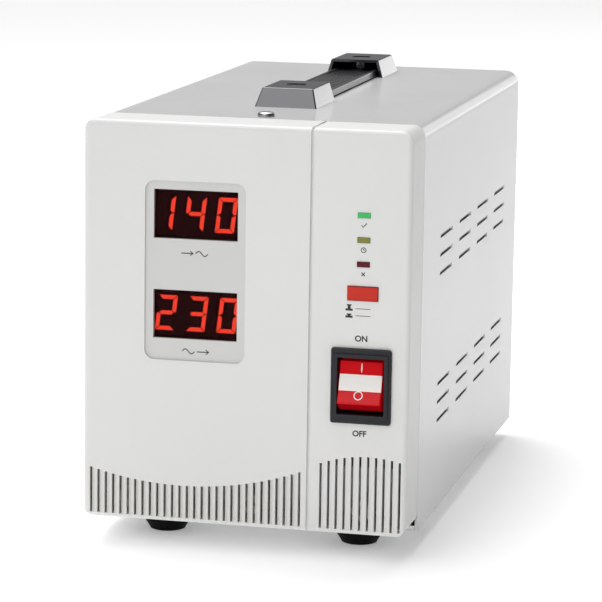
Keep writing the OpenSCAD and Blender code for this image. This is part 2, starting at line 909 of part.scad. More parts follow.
// The hollow in front of one louvre, its ends sloped
module louvre_air() {
    intersection() {
        along_y(0, louvre_len)
            polygon([[cut, -cut], [-sheet_t, -cut], [-sheet_t, 0], [-louvre_in, 0], [0, louvre_h],
                     [cut, louvre_h]]);
        translate([0, 0, -2 * cut]) linear_extrude(louvre_h + 3 * cut)
            polygon([[cut, 0], [0, 0], [-louvre_in, louvre_taper],
                     [-louvre_in, louvre_len - louvre_taper], [0, louvre_len], [cut, louvre_len]]);
    }
}

module louvre_places() {
    for (side = [0, 1], group_z = [upper_row_z, lower_row_z])
        for (row = [0 : rows_per_group - 1], column = [0 : louvres_per_row - 1])
            mirror([side, 0, 0])
                translate([body_w / 2, louvre_y + column * louvre_pitch,
                           group_z + (row - (rows_per_group - 1) / 2) * row_pitch])
                    children();
}

module rear_screw_places() {
    for (s = [-1, 1]) {
        for (share = rear_screw_z_shares)
            translate([s * (body_w / 2 - lip_w / 2 - sheet_t), body_d, share * panel_h]) children();
        translate([s * rear_screw_top_share * body_w, body_d, panel_h - sheet_t - lip_w / 2]) children();
    }
}

module base_screw_places() {
    for (s = [-1, 1], y = [cover_y + base_screw_inset, body_d - base_screw_inset])
        translate([s * base_screw_x, y, case_low]) children();
}

module handle_screw_places() {
    for (y = [front_screw_y, rear_screw_y])
        translate([0, y, 0]) children();
}

module case_cover() {
    color(case_colour) case_frame() difference() {
        union() {
            along_y(cover_y, cover_len) difference() {
                arch(body_w, case_low, panel_h, bend_r);
                arch(body_w - 2 * sheet_t, case_low - cut, case_in_top, bend_r - sheet_t);
            }
            along_y(lip_y, sheet_t) difference() {
                arch(body_w - sheet_t, case_low, panel_h - sheet_t / 2, bend_r - sheet_t / 2);
                arch(body_w - 2 * lip_w, case_low - cut, panel_h - lip_w, bend_r);
            }
            for (s = [-1, 1])
                translate([s * base_screw_x - flange_w / 2, cover_y, case_low])
                    cube([flange_w, cover_len, sheet_t]);
            louvre_places() louvre_skin();
        }
        louvre_places() louvre_air();
        translate([0, cover_screw_y, case_in_top - cut])
            cylinder(r = cover_screw_r + run_fit, h = sheet_t + 2 * cut);
        handle_screw_places() translate([0, 0, case_in_top - cut])
            cylinder(r = handle_screw_r + fit, h = sheet_t + 2 * cut);
        rear_screw_places() bar_y(screw_r + run_fit, -plate_t - sheet_t - cut, sheet_t + 2 * cut);
        base_screw_places() translate([0, 0, -cut]) cylinder(r = screw_r + run_fit, h = sheet_t + 2 * cut);
    }
}

module foot_places() {
    for (x = [-1, 1], y = [foot_y, rear_foot_y])
        translate([x * foot_x, y, 0]) children();
}

module floor_screw_places() {
    for (s = [-1, 1]) {
        translate([s * bracket_screw_x, bracket_screw_y, floor_top + plate_t]) children();
        translate([s * rear_flange_screw_share * rear_flange_w, rear_flange_screw_y, floor_top + plate_t])
            children();
    }
}

module chassis() {
    color(steel) case_frame() difference() {
        union() {
            translate([-floor_w / 2, floor_y, floor_low]) cube([floor_w, floor_end - floor_y, plate_t]);
            translate([-floor_w / 2 + side_lip_inset, floor_y, floor_low])
                cube([floor_w - 2 * side_lip_inset, plate_t, upstand_h]);
            for (s = [0, 1])
                mirror([s, 0, 0]) translate([floor_w / 2 - plate_t, floor_y + side_lip_inset, floor_low])
                    cube([plate_t, floor_end - floor_y - 2 * side_lip_inset, side_lip_h]);
        }
        panel_screw_places() bar_y(screw_r + run_fit, floor_y - cut, plate_t + 2 * cut);
        base_screw_places() cylinder(r = screw_r + run_fit, h = sheet_t + plate_t + cut);
        foot_places() translate([0, 0, floor_low - cut])
            cylinder(r = foot_screw_r + run_fit, h = plate_t + 2 * cut);
        floor_screw_places() translate([0, 0, -3 * plate_t])
            cylinder(r = screw_r + run_fit, h = 3 * plate_t);
        translate([0, toroid_y, floor_low - cut])
            cylinder(r = clamp_bolt_r + bolt_hole_gap, h = plate_t + 2 * cut);
        translate([stud_x, stud_y, floor_low - cut]) cylinder(r = stud_r + run_fit, h = plate_t + 2 * cut);
    }
}

module rear_panel() {
    color(case_colour) case_frame() difference() {
        union() {
            along_y(body_d - plate_t, plate_t)
                arch(body_w - 2 * sheet_t - 2 * fit, floor_low, case_in_top - fit, bend_r - sheet_t);
            translate([-rear_flange_w / 2, body_d - rear_flange_len, floor_top])
                cube([rear_flange_w, rear_flange_len - plate_t / 2, plate_t]);
        }
        for (s = [-1, 1])
            translate([s * outlet_x, 0, outlet_z])
                bar_y(outlet_can_r + fit, body_d - plate_t - cut, plate_t + 2 * cut);
        outlet_screw_places() bar_y(small_screw_r + run_fit, -plate_t - cut, plate_t + 2 * cut);
        translate([service_x, 0, service_z])
            bar_y(breaker_bush_r + fit, body_d - plate_t - cut, plate_t + 2 * cut);
        translate([-service_x, 0, service_z])
            bar_y(bush_neck_r + fit, body_d - plate_t - cut, plate_t + 2 * cut);
        rear_screw_places() bar_y(screw_r + run_fit, -plate_t - cut, plate_t + 2 * cut);
        floor_screw_places() translate([0, 0, -plate_t - cut])
            cylinder(r = screw_r + run_fit, h = plate_t + 2 * cut);
    }
}

module cover_screw() {
    color(steel) case_frame() translate([0, cover_screw_y, panel_h]) {
        translate([0, 0, -cover_screw_len]) cylinder(r = cover_screw_r, h = cover_screw_len);
        cylinder(r1 = cover_head_r, r2 = cover_head_r - head_h / 2, h = head_h);
    }
}

module panel_screws() {
    color(steel) case_frame() panel_screw_places() translate([0, floor_y + plate_t, 0])
        rotate([0, 0, 180]) screw_y(screw_r, panel_d / 2, head_r, head_h);
}

module base_screws() {
    color(steel) case_frame() base_screw_places() {
        cylinder(r = screw_r, h = sheet_t + plate_t + foot_screw_reach);
        translate([0, 0, -head_h]) cylinder(r = head_r, h = head_h);
    }
}

module chassis_screws() {
    color(steel) case_frame() floor_screw_places() {
        translate([0, 0, -3 * plate_t]) cylinder(r = screw_r, h = 3 * plate_t);
        cylinder(r = head_r, h = head_h);
    }
}

module rear_screws() {
    color(steel) case_frame() rear_screw_places() {
        bar_y(screw_r, -plate_t - sheet_t - foot_screw_reach, plate_t + sheet_t + foot_screw_reach);
        bar_y(head_r, 0, head_h);
    }
}

// A handle cap's tapered block, drawn in by a wall and run on below its foot and past its mouth
module cap_block(inset, below, past) {
    lean = (cap_w - cap_top_w) / 2 / cap_h;
    foot_half = cap_w / 2 - inset + lean * below;
    top_half = cap_top_w / 2 - inset + lean * inset;
    intersection() {
        along_y(inset, cap_len + past - inset) polygon([
            [-foot_half, -below], [foot_half, -below], [top_half, cap_h - inset], [-top_half, cap_h - inset]
        ]);
        along_x(-cap_w, 2 * cap_w) polygon([
            [inset - below * cap_slope / cap_h, -below], [cap_len + past, -below],
            [cap_len + past - cap_mouth_slope, cap_h], [inset + cap_slope, cap_h]
        ]);
    }
}

// A handle cap with its outer end at zero, its open mouth facing back
module handle_cap() {
    difference() {
        union() {
            difference() {
                cap_block(0, 0, 0);
                cap_block(cap_wall, cut, cut);
            }
            translate([0, cap_screw_inset, 0]) cylinder(r = cap_boss_r, h = cap_h - cap_wall / 2);
        }
        translate([0, cap_screw_inset, -cut]) cylinder(r = handle_screw_r + fit, h = cap_h + 2 * cut);
        translate([0, cap_screw_inset, cap_h - cap_recess_deep]) cylinder(r = cap_recess_r, h = cap_h);
    }
}

module handle_front_cap() {
    color(black) case_frame() translate([0, handle_y, panel_h]) handle_cap();
}

module handle_rear_cap() {
    color(black) case_frame() translate([0, handle_y + handle_len, panel_h]) mirror([0, 1, 0]) handle_cap();
}

// The strap's section: flat below, a ridge along each side and low ribs between
module strap_section() {
    web_t = strap_t - ridge_r;
    translate([-strap_w / 2, 0]) square([strap_w, web_t]);
    for (s = [-1, 1])
        translate([s * (strap_w / 2 - ridge_r), web_t]) circle(ridge_r);
    for (i = [0 : rib_count - 1])
        translate([(i - (rib_count - 1) / 2) * (strap_w - 4 * ridge_r) / rib_count, web_t])
            square([rib_w, 2 * rib_h], center = true);
}

module handle_strap() {
    from = handle_y + strap_inset;
    color(black) case_frame() translate([0, 0, panel_h + strap_seat]) difference() {
        along_y(from, handle_len - 2 * strap_inset) strap_section();
        for (y = [front_screw_y, rear_screw_y]) {
            for (s = [-1, 1])
                translate([0, y + s * strap_slot_play, -cut])
                    cylinder(r = strap_slot_r, h = strap_t + 2 * cut);
            translate([-strap_slot_r, y - strap_slot_play, -cut])
                cube([2 * strap_slot_r, 2 * strap_slot_play, strap_t + 2 * cut]);
        }
    }
}

module handle_screws() {
    color(steel) case_frame() handle_screw_places() translate([0, 0, panel_h + cap_h - cap_recess_deep]) {
        cylinder(r1 = handle_head_r, r2 = handle_head_r - handle_head_h / 2, h = handle_head_h);
        translate([0, 0, -handle_screw_len]) cylinder(r = handle_screw_r, h = handle_screw_len);
    }
}

module handle_nuts() {
    color(steel) case_frame() handle_screw_places() translate([0, 0, case_in_top - nut_t]) difference() {
        cylinder(r = nut_r, h = nut_t, $fn = 6);
        translate([0, 0, -cut]) cylinder(r = handle_screw_r + run_fit, h = nut_t + 2 * cut);
    }
}

module feet() {
    color(black) case_frame() foot_places() translate([0, 0, sole_z]) rotate_extrude()
        polygon([
            [foot_well_r, 0], [foot_sole_r - foot_edge, 0], [foot_sole_r, foot_edge],
            [foot_top_r, floor_low - sole_z - foot_edge], [foot_top_r, floor_low - sole_z],
            [foot_screw_r + run_fit, floor_low - sole_z], [foot_screw_r + run_fit, foot_well_h],
            [foot_well_r, foot_well_h]
        ]);
}

module foot_screws() {
    color(steel) case_frame() foot_places() translate([0, 0, sole_z + foot_well_h]) {
        cylinder(r = foot_screw_r, h = floor_top - sole_z - foot_well_h + foot_screw_reach);
        translate([0, 0, -foot_head_h]) cylinder(r = foot_head_r, h = foot_head_h);
    }
}

// A ring's section with round corners, from the hole's radius to the outer radius
module ring_section(inner, outer, low, high, r) {
    translate([(inner + outer) / 2, (low + high) / 2]) round_rect(outer - inner, high - low, r);
}

module transformer_core() {
    color([0.45, 0.46, 0.48]) case_frame() translate([0, toroid_y, 0]) rotate_extrude()
        ring_section(toroid_hole_r + winding_t, toroid_r - winding_t, winding_low + winding_t,
                     winding_top - winding_t, core_gap);
}

module transformer_winding() {
    color([0.75, 0.62, 0.3]) case_frame() translate([0, toroid_y, 0]) rotate_extrude() difference() {
        ring_section(toroid_hole_r, toroid_r, winding_low, winding_top, winding_round);
        ring_section(toroid_hole_r + winding_t - core_gap, toroid_r - winding_t + core_gap,
                     winding_low + winding_t - core_gap, winding_top - winding_t + core_gap, core_gap);
    }
}

module transformer_pads() {
    color(black) case_frame() translate([0, toroid_y, 0]) for (z = [floor_top, winding_top])
        translate([0, 0, z]) difference() {
            cylinder(r = toroid_r * pad_r_share, h = pad_t);
            translate([0, 0, -cut]) cylinder(r = clamp_bolt_r + bolt_hole_gap, h = pad_t + 2 * cut);
        }
}

module clamp_plate() {
    rim = toroid_r * plate_r_share;
    color(steel) case_frame() translate([0, toroid_y, clamp_seat]) rotate_extrude() polygon([
        [clamp_bolt_r + bolt_hole_gap, 0], [rim - 2 * plate_dish, 0], [rim - plate_dish, plate_dish],
        [rim, plate_dish], [rim, plate_dish + clamp_t], [rim - plate_dish - clamp_t, plate_dish + clamp_t],
        [rim - 2 * plate_dish - clamp_t, clamp_t], [clamp_bolt_r + bolt_hole_gap, clamp_t]
    ]);
}

module clamp_bolt() {
    color(steel) case_frame() translate([0, toroid_y, floor_low]) {
        translate([0, 0, -bolt_head_h]) cylinder(r = bolt_head_r, h = bolt_head_h, $fn = 6);
        cylinder(r = clamp_bolt_r, h = clamp_seat + clamp_t + clamp_nut_h + bolt_past_nut - floor_low);
    }
}

module clamp_nut() {
    color(steel) case_frame() translate([0, toroid_y, clamp_seat + clamp_t]) difference() {
        cylinder(r = clamp_nut_r, h = clamp_nut_h, $fn = 6);
        translate([0, 0, -cut]) cylinder(r = clamp_bolt_r + run_fit, h = clamp_nut_h + 2 * cut);
    }
}

module spacer_places() {
    for (s = [-1, 1], z = [spacer_low, spacer_high])
        translate([s * upright_x, 0, z]) children();
}

module board_bracket() {
    color(steel) case_frame() difference() {
        union() {
            translate([-upright_x - upright_w / 2, bracket_y - bracket_foot, floor_top])
                cube([2 * upright_x + upright_w, bracket_foot + plate_t, plate_t]);
            for (s = [-1, 1])
                translate([s * upright_x - upright_w / 2, bracket_y, floor_top])
                    cube([upright_w, plate_t, relay_board_low + relay_board_h - floor_top]);
        }
        floor_screw_places() translate([0, 0, -plate_t - cut])
            cylinder(r = screw_r + run_fit, h = plate_t + 2 * cut);
        spacer_places() bar_y(small_screw_r + run_fit, bracket_y - cut, plate_t + 2 * cut);
    }
}

module board_spacers() {
    color(brass) case_frame() spacer_places() {
        bar_y(spacer_r, bracket_y + plate_t, spacer_len);
        bar_y(small_screw_r, bracket_y - small_head_h, plate_t + spacer_len + board_t + 2 * small_head_h);
        bar_y(small_head_r, bracket_y - small_head_h, small_head_h);
        bar_y(small_head_r, board_back, small_head_h);
    }
}

module relay_board() {
    color(board_colour) case_frame() difference() {
        translate([0, 0, relay_board_low + relay_board_h / 2])
            block_y(relay_board_w, relay_board_h, relay_board_y, board_t);
        spacer_places() bar_y(small_screw_r + run_fit, relay_board_y - cut, board_t + 2 * cut);
    }
}

module relays() {
    color([0.15, 0.3, 0.6]) case_frame() for (i = [0 : relay_count - 1])
        translate([(i - (relay_count - 1) / 2) * relay_pitch, 0, relay_z + relay_h / 2])
            block_y(relay_w, relay_h, board_back, relay_deep);
}

module capacitors() {
    color([0.12, 0.14, 0.3]) case_frame() for (i = [0 : len(capacitor_x_shares) - 1])
        translate([capacitor_x_shares[i] * relay_board_w, 0, capacitor_z])
            bar_y(capacitor_r * capacitor_r_shares[i], board_back, capacitor_len * capacitor_r_shares[i]);
}

function tap_x(i) = (i - (tap_count - 1) / 2) * tap_pitch;

module board_tabs() {
    color(steel) case_frame() {
        for (i = [0 : tap_count - 1])
            translate([tap_x(i), 0, tap_z]) block_y(tab_t, tab_w, board_back, tab_len);
        for (i = [0, 1])
            translate([feed_x + i * feed_pitch, 0, feed_z]) block_y(tab_t, tab_w, board_back, tab_len);
        translate([front_tab_x, 0, front_tab_z]) block_y(tab_t, tab_w, relay_board_y - tab_len, tab_len);
    }
}

module board_connectors() {
    color([0.9, 0.9, 0.85]) case_frame() translate([display_x, 0, ribbon_z + plug_h / 2]) {
        block_y(ribbon_w + plug_h / 2, plug_h, board_y + board_t, plug_deep);
        block_y(ribbon_w + plug_h / 2, plug_h, relay_board_y - plug_deep, plug_deep);
    }
}

// A flat cable that hangs in a half circle between the two connectors
module ribbon_cable() {
    color([0.6, 0.6, 0.62]) case_frame()
        translate([display_x - ribbon_w / 2, (ribbon_from + ribbon_to) / 2 + ribbon_t / 2, ribbon_z])
            rotate([0, 90, 0]) rotate([0, 0, -90]) rotate_extrude(angle = 180)
                translate([ribbon_r - ribbon_t / 2, 0]) square([ribbon_t, ribbon_w]);
}

// Points along a smooth curve through the route's points
function blend_point(a, b, c, d, t) = 0.5 * (2 * b + (c - a) * t + (2 * a - 5 * b + 4 * c - d) * t * t
    + (3 * b - a - 3 * c + d) * t * t * t);
function route_point(route, i) = route[max(0, min(len(route) - 1, i))];
function smooth_route(route) = [
    for (i = [0 : len(route) - 2], s = [0 : lead_steps - 1])
        blend_point(route_point(route, i - 1), route[i], route[i + 1],
                    route_point(route, i + 2), s / lead_steps),
    route[len(route) - 1]
];
function unit(v) = v / norm(v);

// Direction of a route at a point of its path, square to what it meets at both ends
function heading(path, route, i) =
    i == 0 ? unit(route[1] - route[0])
    : i == len(path) - 1 ? unit(route[len(route) - 1] - route[len(route) - 2])
    : unit(path[i + 1] - path[i - 1]);

// A lead of round section along a route, its rings squared to the route against a steady direction
module lead(route, steady) {
    path = smooth_route(route);
    rings = len(path);
    points = [
        for (i = [0 : rings - 1])
            let (t = heading(path, route, i), across = unit(cross(t, steady)), up = cross(across, t))
                for (k = [0 : lead_sides - 1])
                    path[i] + lead_r * (cos(360 * k / lead_sides) * across + sin(360 * k / lead_sides) * up)
    ];
    sides = [
        for (i = [0 : rings - 2], k = [0 : lead_sides - 1])
            let (a = i * lead_sides + k, b = i * lead_sides + (k + 1) % lead_sides)
                each [[a, a + lead_sides, b], [b, a + lead_sides, b + lead_sides]]
    ];
    last = (rings - 1) * lead_sides;
    first_end = [for (k = [1 : lead_sides - 2]) [0, k, k + 1]];
    last_end = [for (k = [1 : lead_sides - 2]) [last, last + k + 1, last + k]];
    polyhedron(points, concat(sides, first_end, last_end));
}

// Leads from the winding's upper face up to the board, the first point on a ring outside the pad
module tap_leads() {
    end_y = board_back + tab_len;
    color([0.75, 0.15, 0.12]) case_frame() for (i = [0 : tap_count - 1]) {
        turn = tap_angle * tap_x(i) / tap_x(tap_count - 1);
        x = tap_ring_r * sin(turn);
        y = toroid_y - tap_ring_r * cos(turn);
        lead([[x, y, winding_top], [x, y, winding_top + lead_bend],
              [tap_x(i), y - lead_bend, tap_z - lead_sag],
              [tap_x(i), end_y + lead_bend, tap_z], [tap_x(i), end_y, tap_z]], [1, 0, 0]);
    }
}

// Leads from the breaker to the switch, on to the board, back to the outlets and across between them
module supply_leads() {
    blade_end = body_d - plate_t - breaker_deep - breaker_blade;
    low_z = service_z - breaker_blade_z;
    wall_x = body_w / 2 - sheet_t - 4 * lead_r;
    terminal_end = housing_deep + terminal_len;
    tab_end = board_back + tab_len;
    front_tab_end = relay_board_y - tab_len;
    color([0.15, 0.2, 0.6]) case_frame() {
        lead([[service_x, blade_end, low_z], [service_x, blade_end - lead_bend / 2, low_z],
              [wall_x - lead_r, toroid_y + toroid_r / 2, low_z - lead_sag],
              [wall_x, toroid_y, low_z - lead_sag], [wall_x, toroid_y - toroid_r, low_z - lead_sag],
              [wall_x, relay_board_y, low_z - lead_sag],
              [control_x + 2 * terminal_x, terminal_end + lead_bend, low_z],
              [control_x + terminal_x, terminal_end + lead_stub, switch_z - terminal_z],
              [control_x + terminal_x, terminal_end, switch_z - terminal_z]], [0, 0, 1]);
        lead([[control_x - terminal_x, terminal_end, switch_z + terminal_z],
              [control_x - terminal_x, terminal_end + lead_stub, switch_z + terminal_z],
              [front_tab_x, front_tab_end - lead_stub, front_tab_z],
              [front_tab_x, front_tab_end, front_tab_z]], [0, 0, 1]);
        for (s = [0, 1]) {
            x = feed_x + s * feed_pitch;
            pin_x = outlet_x + (s - 1 / 2) * pin_pitch;
            lead([[x, tab_end, feed_z], [x, tab_end + lead_stub, feed_z],
                  [x, tab_end + 2 * lead_bend, feed_z - lead_sag / 2],
                  [x, toroid_y, feed_z - lead_sag],
                  [x, outlet_back - 2 * lead_bend, outlet_z - lead_sag / 2],
                  [pin_x, outlet_back - lead_stub, outlet_z], [pin_x, outlet_back, outlet_z]], [0, 0, 1]);
        }
        for (s = [-1, 1]) {
            x = outlet_x + s * pin_pitch / 2;
            z = outlet_z + s * link_rise;
            lead([[x, outlet_back, z], [x, outlet_back - lead_stub, z],
                  [x - lead_bend / 3, outlet_back - lead_bend, z],
                  [lead_bend / 3 - x, outlet_back - lead_bend, z],
                  [-x, outlet_back - lead_stub, z], [-x, outlet_back, z]], [0, 0, 1]);
        }
    }
}

module earth_lead() {
    top = floor_top + stud_h;
    color([0.3, 0.6, 0.2]) case_frame()
        lead([[stud_x, stud_y, top], [stud_x, stud_y, top + lead_bend],
              [stud_x - lead_r, outlet_back - lead_bend, service_z],
              [-outlet_x, outlet_back - lead_bend, outlet_z - outlet_can_r / 2 - 2 * lead_r],
              [-outlet_x, outlet_back - lead_stub, outlet_z - outlet_can_r / 2],
              [-outlet_x, outlet_back, outlet_z - outlet_can_r / 2]], [1, 0, 0]);
}

module earth_stud() {
    color(brass) case_frame() translate([stud_x, stud_y, 0]) {
        translate([0, 0, floor_low - head_h]) cylinder(r = head_r, h = head_h);
        translate([0, 0, floor_low]) cylinder(r = stud_r, h = plate_t + stud_h);
        translate([0, 0, floor_top]) cylinder(r = nut_r, h = nut_t, $fn = 6);
    }
}

module outlet_screw_places() {
    for (s = [-1, 1], k = [-1, 1])
        translate([s * outlet_x + k * outlet_screw_x, body_d, outlet_z - k * outlet_screw_x]) children();
}

module outlet(x) {
    front = body_d + outlet_flange_t;
    color(black) case_frame() difference() {
        translate([x, 0, outlet_z]) difference() {
            union() {
                along_y(body_d, outlet_flange_t) round_rect(outlet_w, outlet_w, outlet_corner_r);
                bar_y(outlet_can_r, front - outlet_can_len, outlet_can_len - outlet_flange_t / 2);
            }
            difference() {
                bar_y(well_r, front - well_deep, well_deep + cut);
                for (s = [-1, 1])
                    translate([s * well_r, 0, 0])
                        block_y(2 * key_out, key_w, front - well_deep - cut, well_deep + 2 * cut - key_out);
            }
            for (s = [-1, 1])
                translate([s * pin_pitch / 2, 0, 0])
                    bar_y(pin_hole_r, front - well_deep - pin_hole_deep, pin_hole_deep + cut);
        }
        outlet_screw_places() bar_y(small_screw_r + run_fit, -cut, outlet_flange_t + 2 * cut);
    }
}

module left_outlet() {
    outlet(-outlet_x);
}

module right_outlet() {
    outlet(outlet_x);
}

// Sprung earth strips at the top and bottom of each well
module outlet_earth_clips() {
    floor_of_well = body_d + outlet_flange_t - well_deep;
    color(brass) case_frame() for (x = [-1, 1], s = [-1, 1])
        translate([x * outlet_x, 0, outlet_z]) scale([1, 1, s]) {
            along_x(-clip_w / 2, clip_w) polygon([
                [floor_of_well, well_r - 3 * clip_t], [floor_of_well + clip_len / 2, well_r - 4 * clip_t],
                [floor_of_well + clip_len, well_r - 2 * clip_t], [floor_of_well + clip_len, well_r - clip_t],
                [floor_of_well + clip_len / 2, well_r - 3 * clip_t], [floor_of_well, well_r - 2 * clip_t]
            ]);
        }
}

module outlet_screws() {
    color(steel) case_frame() outlet_screw_places() {
        bar_y(small_screw_r, -plate_t - foot_screw_reach, plate_t + foot_screw_reach + outlet_flange_t);
        bar_y(small_head_r, outlet_flange_t, small_head_h);
    }
}

module breaker_body() {
    inner = body_d - plate_t;
    color(black) case_frame() translate([service_x, 0, service_z]) difference() {
        union() {
            block_y(breaker_w, breaker_h, inner - breaker_deep, breaker_deep);
            bar_y(breaker_bush_r, inner - cut, plate_t + breaker_bush_out + cut);
            for (s = [-1, 1])
                translate([0, 0, s * breaker_blade_z])
                    block_y(tab_t, tab_w, inner - breaker_deep - breaker_blade, breaker_blade + cut);
        }
        bar_y(breaker_button_r + gap, inner, plate_t + breaker_bush_out + cut);
    }
}

module breaker_nut() {
    color(steel) case_frame() translate([service_x, body_d, service_z]) difference() {
        rotate([-90, 0, 0]) cylinder(r = breaker_nut_r, h = breaker_nut_t, $fn = 6);
        bar_y(breaker_bush_r + run_fit, -cut, breaker_nut_t + 2 * cut);
    }
}

module breaker_button() {
    inner = body_d - plate_t + gap;
    color([0.9, 0.9, 0.88]) case_frame() translate([service_x, 0, service_z])
        bar_y(breaker_button_r, inner, body_d + rear_reach - inner);
}

module cord_bush() {
    color(black) case_frame() translate([-service_x, body_d, service_z]) rotate([-90, 0, 0]) rotate_extrude()
        polygon([
            [cord_bore_r, -plate_t - bush_ring_t], [bush_ring_r - bush_round, -plate_t - bush_ring_t],
            [bush_ring_r, -plate_t - bush_ring_t + bush_round], [bush_ring_r, -plate_t],
            [bush_neck_r, -plate_t], [bush_neck_r, 0], [bush_flange_r, 0],
            [bush_flange_r, bush_flange_t - bush_round], [bush_flange_r - bush_round, bush_flange_t],
            [cord_bore_r, bush_flange_t]
        ]);
}

front_panel();
display_lenses();
input_display();
output_display();
input_digits();
output_digits();
display_board();
working_lamp();
delay_lamp();
abnormal_lamp();
indicator_board();
delay_switch_body();
delay_button();
board_screws();
power_switch_housing();
power_rocker();
switch_terminals();
case_cover();
chassis();
rear_panel();
cover_screw();
panel_screws();
base_screws();
chassis_screws();
rear_screws();
handle_front_cap();
handle_rear_cap();
handle_strap();
handle_screws();
handle_nuts();
feet();
foot_screws();
transformer_core();
transformer_winding();
transformer_pads();
clamp_plate();
clamp_bolt();
clamp_nut();
board_bracket();
relay_board();
board_spacers();
relays();
capacitors();
board_tabs();
board_connectors();
ribbon_cable();
tap_leads();
supply_leads();
earth_lead();
earth_stud();
left_outlet();
right_outlet();
outlet_earth_clips();
outlet_screws();
breaker_body();
breaker_nut();
breaker_button();
cord_bush();
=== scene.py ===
"""Looks of a relay voltage stabilizer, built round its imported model."""

import logging
import math
from dataclasses import asdict, dataclass, fields
from enum import Enum
from typing import Callable, Sequence

import bmesh
import bpy
from mathutils import Matrix, Vector

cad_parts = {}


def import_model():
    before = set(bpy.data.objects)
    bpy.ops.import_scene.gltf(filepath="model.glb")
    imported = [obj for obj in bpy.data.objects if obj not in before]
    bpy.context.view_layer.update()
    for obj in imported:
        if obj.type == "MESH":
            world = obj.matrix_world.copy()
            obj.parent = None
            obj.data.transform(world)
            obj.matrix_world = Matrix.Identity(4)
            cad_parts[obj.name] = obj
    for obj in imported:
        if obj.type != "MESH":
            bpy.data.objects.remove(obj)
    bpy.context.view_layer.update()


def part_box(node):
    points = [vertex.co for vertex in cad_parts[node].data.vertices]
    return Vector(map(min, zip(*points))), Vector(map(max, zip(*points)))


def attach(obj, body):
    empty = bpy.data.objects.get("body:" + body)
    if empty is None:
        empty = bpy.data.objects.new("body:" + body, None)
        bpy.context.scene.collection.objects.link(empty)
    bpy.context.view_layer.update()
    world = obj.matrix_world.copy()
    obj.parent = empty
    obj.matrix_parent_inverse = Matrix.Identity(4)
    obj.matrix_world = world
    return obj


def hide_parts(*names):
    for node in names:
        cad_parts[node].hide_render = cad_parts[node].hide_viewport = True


LOG = logging.getLogger("stabilizer")
MM = 0.001
# Thickness of the print in millimetres, and how far its letters spread in metres.
PRINT_T = 0.03
PRINT_SPREAD = 0.0001
# Places closer than this, in metres, are the same.
SAME = 1e-6
# Height of a capital as a share of the lettering's size.
CAPITAL = 0.729
Colour = tuple[float, float, float]
Place = tuple[float, float, float]
Pair = tuple[float, float]
Sockets = bpy.types.bpy_prop_collection


class Body(Enum):
    """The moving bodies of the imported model."""

    CASE = "case"
    ROCKER = "rocker"
    DELAY = "delay_key"
    BREAKER = "breaker_key"
    STRAP = "strap"


class Texture(Enum):
    """The relief that a finish carries."""

    SPARK = "spark"
    PEEL = "peel"
    BRUSHED = "brushed"
    SMOOTH = "smooth"
    WRAPPED = "wrapped"


@dataclass(frozen=True)
class PaintedFluteShade:
    """Painted shade, warm in tone, beside a grille's slots, placed in metres.

    Attributes:
        middle: Place of the middle slot in X.
        pitch: Distance from slot to slot.
        half: Half the grille's width.
        arc_x: Place in X of the top of the arc that ends the slots, or of its foot.
        arc_z: Height of that point.
        bend: Rise of the arc away from that point, for each square metre of distance.
        strength: Share of the shade that shows.
        low: Height of the slots' lower ends.
        slot_half: Half the width of a slot.
    """

    middle: float
    pitch: float
    half: float
    arc_x: float
    arc_z: float
    bend: float
    strength: float
    low: float = 0.0133
    slot_half: float = 0.0005


def feed(tree: bpy.types.NodeTree, node: bpy.types.Node, inputs: dict[str | int, object]) -> None:
    """Sets or joins a node's inputs.

    Args:
        tree: The node's tree.
        node: The node.
        inputs: A value or another node's socket for each input.
    """
    for name, value in inputs.items():
        if isinstance(value, bpy.types.NodeSocket):
            tree.links.new(value, node.inputs[name])
        else:
            node.inputs[name].default_value = value


def add_node(tree: bpy.types.NodeTree, kind: str, inputs: dict[str | int, object],
             **settings: object) -> Sockets:
    """Adds a shader node, sets it and joins its inputs.

    Args:
        tree: The tree it goes into.
        kind: The node's type, without its prefix.
        inputs: A value or another node's socket for each input.
        settings: The node's own settings.

    Returns:
        The node's outputs.
    """
    node = tree.nodes.new("ShaderNode" + kind)
    for name, value in settings.items():
        setattr(node, name, value)
    feed(tree, node, inputs)
    return node.outputs


def maths(tree: bpy.types.NodeTree, operation: str, *values: object) -> bpy.types.NodeSocket:
    """Adds one step of arithmetic on numbers or sockets."""
    return add_node(tree, "Math", dict(enumerate(values)), operation=operation)["Value"]


def noise(tree: bpy.types.NodeTree, vector: bpy.types.NodeSocket, scale: bpy.types.NodeSocket,
          detail: float, roughness: float = 0.5) -> bpy.types.NodeSocket:
    """Adds a cloudy pattern of a scale and a number of finer layers."""
    return add_node(tree, "TexNoise", {"Vector": vector, "Scale": scale, "Detail": detail,
                                       "Roughness": roughness})["Fac"]


def ramp(tree: bpy.types.NodeTree, value: bpy.types.NodeSocket, over: Pair, gives: Pair = (0.0, 1.0),
         kind: str = "SMOOTHSTEP") -> bpy.types.NodeSocket:
    """Adds a step that turns one span of a value into another."""
    inputs = {"Value": value, "From Min": over[0], "From Max": over[1],
              "To Min": gives[0], "To Max": gives[1]}
    return add_node(tree, "MapRange", inputs, interpolation_type=kind)["Result"]


